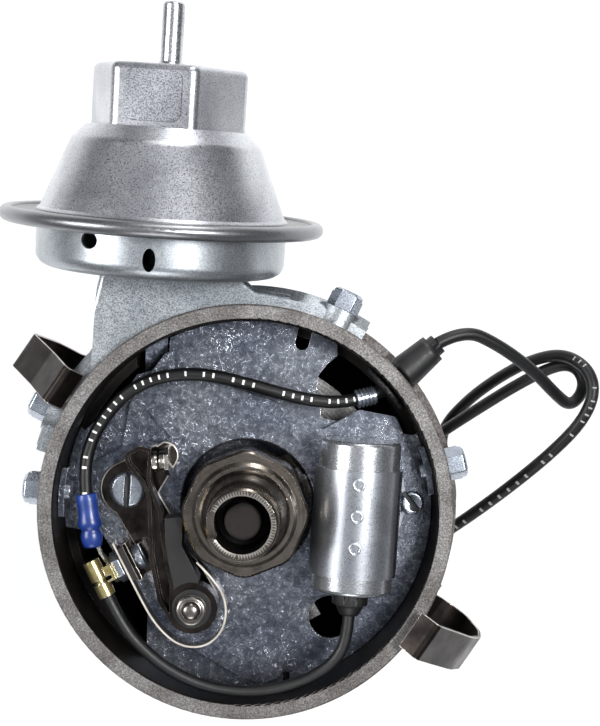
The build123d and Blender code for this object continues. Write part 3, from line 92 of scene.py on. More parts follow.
PICTURE = (600, 726)                 # frame of the view, in pixels
FOCAL_PIXELS = 1353.0
CAMERA_PLACE = Vector((9.06, 43.09, 378.6)) * MM
CAMERA_RIGHT = Vector((0.997564, 0.069756, 0.0))
CAMERA_UP = Vector((-0.069722, 0.997072, -0.031411))

RIM_Z = 82 * MM                      # height of the bowl's open rim
WALL_SPLIT_Z = 48 * MM               # where the casting's two nodes meet
BORE_RADIUS = 44.4 * MM              # anything on the casting inside this is taken as in the bowl, and gets painted shade
BOWL_LOW_Z = 30 * MM                 # the painted shade in the bore starts above this
LEAD_RADIUS = 1.45 * MM
CONDENSER_LEAD_RADIUS = 1.35 * MM

UNIT_TILT = math.radians(7.4)        # the vacuum unit's axis rises away from the bowl
UNIT_START = Vector((-23.4, 0, 63.96)) * MM
UNIT_WAY = Vector((0, math.cos(UNIT_TILT), math.sin(UNIT_TILT)))
HEX_FLAT = 15.5 * MM                 # spring housing, axis to flat
HEX_TURN = math.radians(7)
HEX_MIDDLE = 91.2 * MM               # station of the middle of the housing's flats
CONE_FOOT = 27.9 * MM                # radius where the cone ends and the channel starts
CHANNEL_TOP = 67.2 * MM              # station
BEAD_INSIDE = 33.3 * MM              # radius

PIVOT_CENTRE = (-10.5, -22.5)        # the breaker arm's pivot, in mm
LOCK_SCREW_CENTRE = (-27.3, 2.1)     # in mm, as are the next two
CONDENSER_SCREW_CENTRE = (37.4, 3.5)
STRAP_EAR_X = 33.2                   # the condenser strap lies flat beyond this
DIMPLE_X = 24.25 * MM                # crown of the condenser's strap
DIMPLE_Y = (8.7, 1.8, -5.1)          # in mm

RING_SPACING = 0.9 * MM              # between the tool rings of turned metal
WAVE_PERIOD = 0.314                  # a wave texture's ring spacing times its scale
SHARP = math.radians(32)             # edges with a larger turn than this are eased

# ---------------------------------------------------------------- small helpers


def linear(hex_colour):
    """An sRGB hex colour as the linear colour that a shader socket takes."""
    parts = [int(hex_colour[i:i + 2], 16) / 255 for i in (1, 3, 5)]
    return (*[c / 12.92 if c <= 0.04045 else ((c + 0.055) / 1.055) ** 2.4 for c in parts], 1.0)


def per(width):
    """The noise scale whose lumps are about width metres across."""
    return 0.5 / width


def add(tree, kind, inputs=None, stops=(), **settings):
    """Adds one node. inputs holds sockets or nodes to link and values to set, by name or number."""
    node = tree.nodes.new(kind)
    for name, value in settings.items():
        setattr(node, name, value)
    for name, value in (inputs or {}).items():
        if isinstance(value, bpy.types.Node):
            value = value.outputs[0]
        if isinstance(value, bpy.types.NodeSocket):
            tree.links.new(value, node.inputs[name])
        else:
            node.inputs[name].default_value = value
    if stops:
        while len(node.color_ramp.elements) < len(stops):
            node.color_ramp.elements.new(0.5)
        for element, (place, hex_colour) in zip(node.color_ramp.elements, stops):
            element.position = place
            element.color = linear(hex_colour)
    return node


def blank(name, metallic, roughness=0.5):
    """An empty material: itself, its tree, its Principled shader and the object coordinates."""
    material = bpy.data.materials.new(name)
    material.use_nodes = True
    tree = material.node_tree
    shader = tree.nodes["Principled BSDF"]
    shader.inputs["Metallic"].default_value = metallic
    shader.inputs["Roughness"].default_value = roughness
    place = add(tree, "ShaderNodeTexCoord").outputs["Object"]
    return material, tree, shader, place


# ---------------------------------------------------------------- materials


def cast_iron_skin(name, dark, middle, pale, pit, rough):
    # Grey cast iron: warm grey with dark pits and bright specks of the open grain.
    material, tree, shader, place = blank(name, 0.55)
    grit = add(
        tree, "ShaderNodeTexNoise",
        {"Vector": place, "Scale": per(pit), "Detail": 5, "Roughness": 0.75},
    )
    cloud = add(
        tree, "ShaderNodeTexNoise",
        {"Vector": place, "Scale": per(4 * MM), "Detail": 4, "Roughness": 0.6},
    )
    skin = add(
        tree, "ShaderNodeValToRGB",
        {"Fac": grit}, [(0.34, dark), (0.50, middle), (0.68, pale)],
    )
    shade = add(tree, "ShaderNodeValToRGB", {"Fac": cloud}, [(0.35, "#c4bfbc"), (0.62, "#ffffff")])
    colour = add(
        tree, "ShaderNodeMix",
        {0: 1.0, 6: skin, 7: shade}, data_type="RGBA", blend_type="MULTIPLY",
    )
    tree.links.new(colour.outputs[2], shader.inputs["Base Color"])
    gloss = add(
        tree, "ShaderNodeMapRange",
        {"Value": grit, 1: 0.3, 2: 0.7, 3: rough + 0.1, 4: rough - 0.1},
    )
    tree.links.new(gloss.outputs[0], shader.inputs["Roughness"])
    relief = add(tree, "ShaderNodeBump", {"Height": grit, "Distance": 0.1 * MM, "Strength": 0.75})
    tree.links.new(relief.outputs[0], shader.inputs["Normal"])
    return material


def bore_painted_shade():
    # Painted shade for the inside of the bowl: almost black, with a dull brown sheen.
    material, tree, shader, place = blank("bowl_inside_painted_shade", 0.0, 0.5)
    shader.inputs["Specular IOR Level"].default_value = 0.12
    film = add(
        tree, "ShaderNodeTexNoise",
        {"Vector": place, "Scale": per(5 * MM), "Detail": 4, "Roughness": 0.6},
    )
    colour = add(tree, "ShaderNodeValToRGB", {"Fac": film}, [(0.38, "#090808"), (0.62, "#171412")])
    tree.links.new(colour.outputs[0], shader.inputs["Base Color"])
    relief = add(tree, "ShaderNodeBump", {"Height": film, "Distance": 0.3 * MM, "Strength": 0.2})
    tree.links.new(relief.outputs[0], shader.inputs["Normal"])
    return material


def frosted_metal(name, dark, pale, rough, frost):
    # Blasted and zinc-plated sheet or die casting: soft silver glow with a fine sparkling grain.
    # The grain is drawn at 0.15 mm, coarser than the real frost, so that it shows.
    material, tree, shader, place = blank(name, 0.9)
    fine = add(
        tree, "ShaderNodeTexNoise",
        {"Vector": place, "Scale": per(0.15 * MM), "Detail": 2, "Roughness": 0.6},
    )
    cloud = add(
        tree, "ShaderNodeTexNoise",
        {"Vector": place, "Scale": per(9 * MM), "Detail": 4, "Roughness": 0.6, "Distortion": 0.5},
    )
    tone = add(tree, "ShaderNodeValToRGB", {"Fac": cloud}, [(0.34, dark), (0.66, pale)])
    speck = add(tree, "ShaderNodeValToRGB", {"Fac": fine}, [(0.38, "#8e8e94"), (0.58, "#ffffff")])
    colour = add(
        tree, "ShaderNodeMix",
        {0: frost, 6: tone, 7: speck}, data_type="RGBA", blend_type="MULTIPLY",
    )
    tree.links.new(colour.outputs[2], shader.inputs["Base Color"])
    gloss = add(
        tree, "ShaderNodeMapRange",
        {"Value": fine, 1: 0.3, 2: 0.7, 3: rough - 0.05, 4: rough + 0.09},
    )
    tree.links.new(gloss.outputs[0], shader.inputs["Roughness"])
    relief = add(
        tree, "ShaderNodeBump",
        {"Height": fine, "Distance": 0.012 * MM, "Strength": frost},
    )
    tree.links.new(relief.outputs[0], shader.inputs["Normal"])
    return material


def zinc_sheet(name, dark, middle, pale):
    # Zinc-plated rolled sheet, handled and scraped: blue-grey clouds under bright scuffs.
    material, tree, shader, place = blank(name, 0.9)
    cloud = add(
        tree, "ShaderNodeTexNoise",
        {
            "Vector": place, "Scale": per(0.9 * MM), "Detail": 8, "Roughness": 0.85,
            "Distortion": 0.3,
        },
    )
    tone = add(
        tree, "ShaderNodeValToRGB",
        {"Fac": cloud}, [(0.34, dark), (0.50, middle), (0.68, pale)],
    )
    wide = add(
        tree, "ShaderNodeTexNoise",
        {"Vector": place, "Scale": per(9 * MM), "Detail": 3, "Roughness": 0.5},
    )
    tint = add(tree, "ShaderNodeValToRGB", {"Fac": wide}, [(0.36, "#b4b9c8"), (0.64, "#ffffff")])
    base = add(
        tree, "ShaderNodeMix",
        {0: 0.8, 6: tone, 7: tint}, data_type="RGBA", blend_type="MULTIPLY",
    )
    worn = add(
        tree, "ShaderNodeTexNoise",
        {
            "Vector": place, "Scale": per(0.9 * MM), "Detail": 8, "Roughness": 0.75,
            "Distortion": 3.0,
        },
    )
    patch = add(
        tree, "ShaderNodeTexNoise",
        {"Vector": place, "Scale": per(6 * MM), "Detail": 2, "Roughness": 0.5},
    )
    where = add(tree, "ShaderNodeMapRange", {"Value": patch, 1: 0.52, 2: 0.64, 3: 0.0, 4: 1.0})
    scuff = add(tree, "ShaderNodeMapRange", {"Value": worn, 1: 0.56, 2: 0.66, 3: 0.0, 4: 1.0})
    share = add(tree, "ShaderNodeMath", {0: where, 1: scuff}, operation="MULTIPLY")
    colour = add(
        tree, "ShaderNodeMix",
        {0: share, 6: base.outputs[2], 7: linear("#eef1f6")}, data_type="RGBA",
    )
    tree.links.new(colour.outputs[2], shader.inputs["Base Color"])
    gloss = add(tree, "ShaderNodeMapRange", {"Value": cloud, 1: 0.3, 2: 0.7, 3: 0.36, 4: 0.20})
    tree.links.new(gloss.outputs[0], shader.inputs["Roughness"])
    clouds = add(tree, "ShaderNodeBump", {"Height": cloud, "Distance": 0.04 * MM, "Strength": 0.6})
    relief = add(
        tree, "ShaderNodeBump",
        {"Height": scuff, "Distance": 0.05 * MM, "Strength": 0.5, "Normal": clouds},
    )
    tree.links.new(relief.outputs[0], shader.inputs["Normal"])
    return material


def turned_metal(name, dark, pale, rough, centre=(0, 0)):
    # Turned or headed metal: fine rings round its axis and a clean glint on each edge.
    material, tree, shader, place = blank(name, 1.0)
    to_axis = (-centre[0] * MM, -centre[1] * MM, 0)
    centred = add(tree, "ShaderNodeMapping", {"Vector": place, "Location": to_axis})
    rings = add(
        tree, "ShaderNodeTexWave",
        {"Vector": centred, "Scale": WAVE_PERIOD / RING_SPACING, "Distortion": 0.5, "Detail": 2},
        wave_type="RINGS", rings_direction="Z",
    )
    cloud = add(
        tree, "ShaderNodeTexNoise",
        {"Vector": place, "Scale": per(2 * MM), "Detail": 6, "Roughness": 0.65},
    )
    tone = add(tree, "ShaderNodeValToRGB", {"Fac": cloud}, [(0.32, dark), (0.66, pale)])
    tree.links.new(tone.outputs[0], shader.inputs["Base Color"])
    gloss = add(
        tree, "ShaderNodeMapRange",
        {"Value": cloud, 1: 0.3, 2: 0.7, 3: rough + 0.08, 4: rough - 0.05},
    )
    tree.links.new(gloss.outputs[0], shader.inputs["Roughness"])
    relief = add(
        tree, "ShaderNodeBump",
        {"Height": rings.outputs[1], "Distance": 0.02 * MM, "Strength": 0.5},
    )
    tree.links.new(relief.outputs[0], shader.inputs["Normal"])
    return material


def polished_strip(name, dark, pale, rough):
    # Rolled and polished strip: mirror-like, with faint clouds and hairline nicks.
    material, tree, shader, place = blank(name, 0.95)
    cloud = add(
        tree, "ShaderNodeTexNoise",
        {"Vector": place, "Scale": per(3 * MM), "Detail": 5, "Roughness": 0.6},
    )
    tone = add(tree, "ShaderNodeValToRGB", {"Fac": cloud}, [(0.36, dark), (0.64, pale)])
    nick = add(
        tree, "ShaderNodeTexNoise",
        {"Vector": place, "Scale": per(0.7 * MM), "Detail": 6, "Roughness": 0.8},
    )
    share = add(tree, "ShaderNodeMapRange", {"Value": nick, 1: 0.66, 2: 0.74, 3: 0.0, 4: 0.7})
    colour = add(tree, "ShaderNodeMix", {0: share, 6: tone, 7: linear("#b9b2aa")}, data_type="RGBA")
    tree.links.new(colour.outputs[2], shader.inputs["Base Color"])
    gloss = add(
        tree, "ShaderNodeMapRange",
        {"Value": cloud, 1: 0.3, 2: 0.7, 3: rough + 0.07, 4: rough - 0.04},
    )
    tree.links.new(gloss.outputs[0], shader.inputs["Roughness"])
    relief = add(tree, "ShaderNodeBump", {"Height": nick, "Distance": 0.03 * MM, "Strength": 0.3})
    tree.links.new(relief.outputs[0], shader.inputs["Normal"])
    return material


def black_rubber(name, dark, pale, rough, skin_width):
    # Moulded or extruded rubber: black, with a soft sheen over a faintly uneven skin.
    material, tree, shader, place = blank(name, 0.0)
    skin = add(tree, "ShaderNodeTexNoise", {"Vector": place, "Scale": per(skin_width), "Detail": 4})
    cloud = add(tree, "ShaderNodeTexNoise", {"Vector": place, "Scale": per(6 * MM), "Detail": 3})
    tone = add(tree, "ShaderNodeValToRGB", {"Fac": cloud}, [(0.35, dark), (0.70, pale)])
    tree.links.new(tone.outputs[0], shader.inputs["Base Color"])
    gloss = add(
        tree, "ShaderNodeMapRange",
        {"Value": skin, 1: 0.3, 2: 0.7, 3: rough - 0.05, 4: rough + 0.08},
    )
    tree.links.new(gloss.outputs[0], shader.inputs["Roughness"])
    relief = add(tree, "ShaderNodeBump", {"Height": skin, "Distance": 0.03 * MM, "Strength": 0.4})
    tree.links.new(relief.outputs[0], shader.inputs["Normal"])
    return material


def marked_insulation(name, length, radius, first, ink):
    # Extruded PVC insulation, black and slightly glossy, with one row of short tally marks.
    # The marks follow the lead's own UV map: X runs from end to end, and Y round it from its side.
    # They start at the share of the length named first.
    material, tree, shader, place = blank(name, 0.0, 0.46)
    shader.inputs["Specular IOR Level"].default_value = 0.35
    cloud = add(tree, "ShaderNodeTexNoise", {"Vector": place, "Scale": per(5 * MM), "Detail": 3})
    tone = add(tree, "ShaderNodeValToRGB", {"Fac": cloud}, [(0.35, "#050506"), (0.70, "#0f0f11")])
    skin = add(tree, "ShaderNodeUVMap", uv_map="UVMap")
    split = add(tree, "ShaderNodeSeparateXYZ", {"Vector": skin})
    mark_pitch = 2.1 * MM
    mark_height = 1.1 * MM
    mark_share = 0.22                # of the pitch
    top_of_lead = 0.167              # of the way round
    left_out = 0.25                  # of the marks
    steps = add(
        tree, "ShaderNodeMath",
        {0: split.outputs["X"], 1: length / mark_pitch}, operation="MULTIPLY",
    )
    turn = add(tree, "ShaderNodeMath", {0: steps}, operation="FRACT")
    dash = add(tree, "ShaderNodeMath", {0: turn, 1: mark_share}, operation="LESS_THAN")
    count = add(tree, "ShaderNodeMath", {0: steps}, operation="FLOOR")
    chance = add(tree, "ShaderNodeTexWhiteNoise", {"W": count}, noise_dimensions="1D")
    kept = add(tree, "ShaderNodeMath", {0: chance, 1: left_out}, operation="GREATER_THAN")
    half_band = mark_height / (2 * math.pi * radius) / 2
    on_top = add(
        tree, "ShaderNodeMath",
        {0: split.outputs["Y"], 1: top_of_lead, 2: half_band}, operation="COMPARE",
    )
    shown = add(tree, "ShaderNodeMath", {0: dash, 1: kept}, operation="MULTIPLY")
    run = add(tree, "ShaderNodeMath", {0: split.outputs["X"], 1: first}, operation="GREATER_THAN")
    inked = add(tree, "ShaderNodeMath", {0: on_top, 1: run}, operation="MULTIPLY")
    share = add(tree, "ShaderNodeMath", {0: shown, 1: inked}, operation="MULTIPLY")
    colour = add(tree, "ShaderNodeMix", {0: share, 6: tone, 7: linear(ink)}, data_type="RGBA")
    tree.links.new(colour.outputs[2], shader.inputs["Base Color"])
    return material


def moulded_plastic(name, dark, pale, rough):
    # Injection-moulded plastic: even colour, slight flow lines and a rounded gloss.
    material, tree, shader, place = blank(name, 0.0, rough)
    flow = add(
        tree, "ShaderNodeTexNoise",
        {
            "Vector": place, "Scale": per(2.5 * MM), "Detail": 4, "Roughness": 0.55,
            "Distortion": 0.6,
        },
    )
    tone = add(tree, "ShaderNodeValToRGB", {"Fac": flow}, [(0.35, dark), (0.65, pale)])
    tree.links.new(tone.outputs[0], shader.inputs["Base Color"])
    relief = add(tree, "ShaderNodeBump", {"Height": flow, "Distance": 0.08 * MM, "Strength": 0.3})
    tree.links.new(relief.outputs[0], shader.inputs["Normal"])
    return material


def oiled_felt():
    # Wool felt soaked with oil: near black, matt, with loose fibres.
    material, tree, shader, place = blank("oiled_felt", 0.0, 0.85)
    fibre = add(
        tree, "ShaderNodeTexNoise",
        {
            "Vector": place, "Scale": per(0.35 * MM), "Detail": 6, "Roughness": 0.8,
            "Distortion": 1.5,
        },
    )
    tone = add(tree, "ShaderNodeValToRGB", {"Fac": fibre}, [(0.30, "#080606"), (0.70, "#241d18")])
    tree.links.new(tone.outputs[0], shader.inputs["Base Color"])
    relief = add(tree, "ShaderNodeBump", {"Height": fibre, "Distance": 0.25 * MM, "Strength": 0.9})
    tree.links.new(relief.outputs[0], shader.inputs["Normal"])
    return material


def dome_steel():
    # The dome's blasted sheet, with painted shade in the channel inside the bead, greyer on the
    # bead.
    material = frosted_metal("blasted_dome_steel", "#9fa1a6", "#c2c4c8", 0.31, 0.5)
    tree = material.node_tree
    shader = tree.nodes["Principled BSDF"]
    silver = shader.inputs["Base Color"].links[0].from_socket
    place = add(tree, "ShaderNodeTexCoord").outputs["Object"]
    offset = add(tree, "ShaderNodeVectorMath", {0: place, 1: UNIT_START}, operation="SUBTRACT")
    station = add(
        tree, "ShaderNodeVectorMath",
        {0: offset, 1: UNIT_WAY}, operation="DOT_PRODUCT",
    ).outputs["Value"]
    along = add(tree, "ShaderNodeVectorMath", {0: UNIT_WAY, "Scale": station}, operation="SCALE")
    across = add(tree, "ShaderNodeVectorMath", {0: offset, 1: along}, operation="SUBTRACT")
    radius = add(tree, "ShaderNodeVectorMath", {0: across}, operation="LENGTH").outputs["Value"]
    outside = add(
        tree, "ShaderNodeMapRange",
        {"Value": radius, 1: CONE_FOOT, 2: CONE_FOOT + 0.4 * MM, 3: 0.0, 4: 1.0},
    )
    low = add(
        tree, "ShaderNodeMapRange",
        {"Value": station, 1: CHANNEL_TOP, 2: CHANNEL_TOP - 0.4 * MM, 3: 0.0, 4: 1.0},
    )
    bead = add(
        tree, "ShaderNodeMapRange",
        {"Value": radius, 1: BEAD_INSIDE, 2: BEAD_INSIDE + 0.7 * MM, 3: 0.0, 4: 1.0},
    )
    # the channel between the cone's foot and the bead is darkened to #2b2b2d: painted shade
    channel = add(tree, "ShaderNodeMath", {0: outside, 1: low}, operation="MULTIPLY")
    grey = add(
        tree, "ShaderNodeMix",
        {0: channel, 6: silver, 7: linear("#2b2b2d")}, data_type="RGBA",
    )
    colour = add(
        tree, "ShaderNodeMix",
        {0: bead, 6: grey.outputs[2], 7: linear("#7c7d80")}, data_type="RGBA",
    )
    tree.links.new(colour.outputs[2], shader.inputs["Base Color"])
    return material


IRON_SKIN = cast_iron_skin("sand_cast_grey_iron", "#3e3a39", "#6a6563", "#989390", 0.35 * MM, 0.55)
IRON_RIM = cast_iron_skin("machined_grey_iron_rim", "#3e3c3b", "#6b6968", "#9c9a99",
                          0.18 * MM, 0.54)
# lighter iron for the eased edges: wear, with a painted highlight
IRON_EDGE_WEAR_AND_HIGHLIGHT = cast_iron_skin("rubbed_iron_edge_painted_highlight", "#7d7775", "#aaa4a1", "#d4cecb", 0.3 * MM, 0.42)
# painted shade for the inside of the bowl and for the cam's bore and what sits in it
BORE_PAINTED_SHADE = bore_painted_shade()
BRACKET_ALLOY = frosted_metal("tumbled_zinc_die_casting", "#969ca0", "#c0c5c8", 0.36, 0.75)
DOME_STEEL = dome_steel()
PAD_STEEL = frosted_metal("coarse_blasted_pad_steel", "#8f9196", "#b2b4b9", 0.42, 0.9)
NIPPLE_STEEL = frosted_metal("plated_nipple_steel", "#a3a5a9", "#c3c4c7", 0.24, 0.3)
CUP_STEEL = frosted_metal("plated_cup_steel", "#93989d", "#b6bbbf", 0.34, 0.45)
CAN_METAL = frosted_metal("drawn_can_aluminium", "#a3a6aa", "#babcc0", 0.24, 0.06)
STRAP_METAL = frosted_metal("satin_zinc_strap", "#8e9197", "#a7aab0", 0.30, 0.06)
SCREW_ZINC = frosted_metal("zinc_plated_screw_steel", "#868d97", "#b4bac3", 0.26, 0.2)
ZINC = zinc_sheet("zinc_plated_plate", "#33363d", "#6f737b", "#b9bdc5")
# lighter zinc for sheared edges and pressed rings: bare metal, with a painted highlight
ZINC_SHEARED_EDGE_AND_HIGHLIGHT = frosted_metal("sheared_zinc_edge_painted_highlight", "#c4c8d0", "#eceff4", 0.25, 0.1)
HARD_STEEL = turned_metal("ground_steel", "#7d7b79", "#c2c0bd", 0.26)
CAM_STEEL = turned_metal("brown_phosphated_cam_steel", "#4b453f", "#857d75", 0.24)
# lighter cam steel for the rotor-seat end and edges: wear, with a painted highlight
CAM_EDGE_WEAR_AND_HIGHLIGHT = turned_metal("rubbed_cam_edge_painted_highlight", "#a79f97", "#e4ddd5", 0.22)
SINTERED_BRONZE = turned_metal("sintered_bronze", "#8a6434", "#c79a5c", 0.42)
CONTACT_METAL = turned_metal("silvered_contact_steel", "#8d857c", "#e3dcd2", 0.18)
PIVOT_STEEL = turned_metal("dark_headed_pivot_steel", "#5a5653", "#9b9691", 0.26, PIVOT_CENTRE)
ARM_STEEL = polished_strip("dark_polished_arm_steel", "#1f1c1b", "#4a4440", 0.17)
# lighter steel for the eased edges: wear, with a painted highlight
ARM_EDGE_WEAR_AND_HIGHLIGHT = polished_strip("rubbed_arm_edge_painted_highlight", "#b5ada3", "#eee8df", 0.42)
LEAF_STEEL = polished_strip("spring_leaf_stainless", "#8e867b", "#cfc7ba", 0.18)
BRASS = polished_strip("rolled_terminal_brass", "#a89452", "#e8dba4", 0.22)
TIN = polished_strip("tinned_terminal", "#a8a49a", "#dcd8cc", 0.24)
CLIP_STEEL = polished_strip("blackened_spring_steel", "#1b1817", "#322d2a", 0.40)
# lighter steel for the clips' eased edges: wear, with a painted highlight
CLIP_EDGE_WEAR_AND_HIGHLIGHT = polished_strip("rubbed_spring_edge_painted_highlight", "#8f8782", "#c4bcb6", 0.28)
LEAD_RUBBER = black_rubber("black_lead_insulation", "#050506", "#0f0f11", 0.46, 0.5 * MM)
BOOT_RUBBER = black_rubber("moulded_boot_rubber", "#060607", "#121214", 0.50, 0.35 * MM)
BLUE_NYLON = moulded_plastic("blue_nylon_sleeve", "#11225c", "#203c80", 0.30)
BLACK_PHENOLIC = moulded_plastic("black_phenolic", "#050505", "#100d0c", 0.46)
# painted shade for the floors of screw slots
SLOT_SHADE = moulded_plastic("slot_floor_painted_shade", "#1a1919", "#343230", 0.5)
FELT = oiled_felt()

BODIES = frame["record"]["behaviour"]["bodies"]
BODY_OF = {node: body for body, nodes in BODIES.items() for node in nodes}

# ---------------------------------------------------------------- handling pieces


def take(*pieces):
    """Makes these pieces the only selected ones, with the first one active."""
    for item in bpy.context.selected_objects:
        item.select_set(False)
    for piece in pieces:
        piece.hide_set(False)
        piece.select_set(True)
    bpy.context.view_layer.objects.active = pieces[0]


def copied(node, merged=True):
    """A free copy of a node; merged joins its loose triangles into one skin."""
    source = frame["nodes"][node]
    piece = source.copy()
    piece.data = source.data.copy()
    piece.name = node + "_finished"
    piece.parent = None
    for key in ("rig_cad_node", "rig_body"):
        if key in piece:
            del piece[key]
    bpy.context.scene.collection.objects.link(piece)
    if not merged:
        return piece
    take(piece)
    bpy.ops.object.mode_set(mode="EDIT")
    bpy.ops.mesh.select_all(action="SELECT")
    bpy.ops.mesh.remove_doubles(threshold=0.002 * MM)
    bpy.ops.object.mode_set(mode="OBJECT")
    return piece


def eased(piece, width, left_sharp=lambda place: False):
    """Rounds a piece's edges a little; the rounded strips take its last material."""
    take(piece)
    bpy.ops.object.mode_set(mode="EDIT")
    bpy.ops.mesh.select_all(action="SELECT")
    bpy.ops.mesh.dissolve_limited(angle_limit=math.radians(0.4), delimit={"MATERIAL"})
    bpy.ops.mesh.select_mode(type="EDGE")
    bpy.ops.mesh.select_all(action="DESELECT")
    bpy.ops.mesh.edges_select_sharp(sharpness=SHARP)
    bpy.ops.object.mode_set(mode="OBJECT")
    places = [vertex.co for vertex in piece.data.vertices]
    for edge in piece.data.edges:
        if edge.select and all(left_sharp(places[i]) for i in edge.vertices):
            edge.select = False
    bpy.ops.object.mode_set(mode="EDIT")
    last = len(piece.data.materials) - 1
    bpy.ops.mesh.bevel(offset=width, segments=2, clamp_overlap=True, material=last)
    bpy.ops.object.mode_set(mode="OBJECT")


def smoothed(piece, angle=40.0):
    """Smooth shading over the curves, with each flat face kept flat."""
    take(piece)
    bpy.ops.object.shade_smooth_by_angle(angle=math.radians(angle))
    weighted = piece.modifiers.new("flat_faces_lead", "WEIGHTED_NORMAL")
    weighted.keep_sharp = True
    bpy.ops.object.modifier_apply(modifier=weighted.name)


def coated(piece, *materials):
    """Gives a piece its materials, in slot order."""
    piece.data.materials.clear()
    for material in materials:
        piece.data.materials.append(material)


def stands_for(piece, *nodes):
    """A piece takes the body of the nodes that it replaces, which are hidden."""
    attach(piece, BODY_OF[nodes[0]])
    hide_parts(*nodes)


def put_at(piece, origin, way):
    """Moves a piece modelled round +Z to origin, with +Z along way and +X as it was."""
    z = Vector(way).normalized()
    y = z.cross(Vector((1, 0, 0))).normalized()
    x = y.cross(z)
    turn = Matrix((x, y, z)).transposed().to_4x4()
    piece.matrix_world = Matrix.Translation(Vector(origin)) @ turn
    take(piece)
    bpy.ops.object.transform_apply(location=True, rotation=True, scale=True)


def turned(name, profile, origin, way, flat=1.0):
    """A closed piece turned about way: profile lists (radius, station) in mm from end to end."""
    radius, station = profile[0]
    bpy.ops.object.select_all(action="DESELECT")
    bpy.ops.mesh.primitive_circle_add(
        vertices=40, radius=radius * MM, fill_type="NGON", location=(0, 0, station * MM)
    )
    piece = bpy.context.active_object
    piece.name = name
    bpy.ops.object.transform_apply(location=True, rotation=True, scale=True)
    bpy.ops.object.mode_set(mode="EDIT")
    bpy.ops.mesh.select_all(action="SELECT")
    for new_radius, new_station in profile[1:]:
        bpy.ops.mesh.extrude_region_move(
            TRANSFORM_OT_translate={"value": (0, 0, (new_station - station) * MM)}
        )
        grow = new_radius / radius
        bpy.ops.transform.resize(value=(grow, grow, 1), center_override=(0, 0, new_station * MM))
        radius, station = new_radius, new_station
    bpy.ops.mesh.select_all(action="SELECT")
    bpy.ops.transform.resize(value=(1, flat, 1), center_override=(0, 0, 0))
    bpy.ops.mesh.normals_make_consistent(inside=False)
    bpy.ops.object.mode_set(mode="OBJECT")
    put_at(piece, origin, way)
    return piece


# ---------------------------------------------------------------- the casting


def casting():
    """The bowl and its wall joined into one skin: rough outside, machined rim, painted shade in the
    bore.
    """
    lower = copied("housing")
    upper = copied("bowl_wall")
    take(lower, upper)
    bpy.ops.object.join()
    piece = bpy.context.view_layer.objects.active
    piece.name = "bowl_casting"
    coated(piece, IRON_SKIN, IRON_RIM, BORE_PAINTED_SHADE, IRON_EDGE_WEAR_AND_HIGHLIGHT)
    # slot 1 is the machined rim; slot 2, painted shade, goes on faces inside the bowl above
    # BOWL_LOW_Z
    for face in piece.data.polygons:
        centre = face.center
        reach = math.hypot(centre.x, centre.y)
        if centre.z > RIM_Z - 0.2 * MM and face.normal.z > 0.9:
            face.material_index = 1
        elif reach < BORE_RADIUS and centre.z > BOWL_LOW_Z:
            face.material_index = 2
        else:
            face.material_index = 0
    # the eased edges take the last slot, lighter iron that is wear with a painted highlight
    eased(piece, 0.25 * MM, left_sharp=lambda place: abs(place.z - WALL_SPLIT_Z) < 0.01 * MM)
    smoothed(piece)
    stands_for(piece, "housing", "bowl_wall")


casting()

# ---------------------------------------------------------------- rigid nodes with eased edges

# node: its material, the material of its edges, and how far these are eased, in mm; a lighter edge
# material is wear with a painted highlight
EASED = {
    "vacuum_bracket": (BRACKET_ALLOY, BRACKET_ALLOY, 0.5),
    "vacuum_nipple": (NIPPLE_STEEL, NIPPLE_STEEL, 0.0),
    "sub_plate": (ZINC, ZINC_SHEARED_EDGE_AND_HIGHLIGHT, 0.16),
    "breaker_plate": (ZINC, ZINC_SHEARED_EDGE_AND_HIGHLIGHT, 0.16),
    "plate_screws": (SCREW_ZINC, SCREW_ZINC, 0.25),
    "vacuum_bracket_screws": (SCREW_ZINC, SCREW_ZINC, 0.25),
    "contact_base": (ARM_STEEL, ARM_EDGE_WEAR_AND_HIGHLIGHT, 0.28),
    "breaker_arm": (ARM_STEEL, ARM_EDGE_WEAR_AND_HIGHLIGHT, 0.30),
    "rubbing_block": (BLACK_PHENOLIC, BLACK_PHENOLIC, 0.20),
    "arm_bushing": (BLACK_PHENOLIC, BLACK_PHENOLIC, 0.20),
    "pivot_post": (PIVOT_STEEL, PIVOT_STEEL, 0.0),
    "pivot_clip": (PIVOT_STEEL, PIVOT_STEEL, 0.10),
    "fixed_contact": (CONTACT_METAL, CONTACT_METAL, 0.08),
    "moving_contact": (CONTACT_METAL, CONTACT_METAL, 0.08),
    "terminal_bracket": (ARM_STEEL, ARM_EDGE_WEAR_AND_HIGHLIGHT, 0.10),
    "terminal_insulator": (BLACK_PHENOLIC, BLACK_PHENOLIC, 0.10),
    "terminal_nut": (SCREW_ZINC, SCREW_ZINC, 0.20),
    "terminal_screw": (SCREW_ZINC, SCREW_ZINC, 0.15),
    "condenser_can": (CAN_METAL, CAN_METAL, 0.0),
    "condenser_seal": (BOOT_RUBBER, BOOT_RUBBER, 0.0),
    "condenser_terminal": (BRASS, TIN, 0.10),
    "primary_terminal": (TIN, TIN, 0.08),
    "lead_grommet": (BOOT_RUBBER, BOOT_RUBBER, 0.0),
    "lead_terminal": (TIN, TIN, 0.08),
    "clip_left": (CLIP_STEEL, CLIP_EDGE_WEAR_AND_HIGHLIGHT, 0.14),
    "clip_right": (CLIP_STEEL, CLIP_EDGE_WEAR_AND_HIGHLIGHT, 0.14),
    "clip_pins": (HARD_STEEL, HARD_STEEL, 0.15),
    "shaft_collar": (HARD_STEEL, HARD_STEEL, 0.0),
    "shank_seal_ring": (BOOT_RUBBER, BOOT_RUBBER, 0.0),
}
for node_name, (face_finish, edge_finish, ease) in EASED.items():
    finished = copied(node_name)
    coated(finished, face_finish, edge_finish)
    if ease:
        eased(finished, ease * MM)
    smoothed(finished)
    stands_for(finished, node_name)


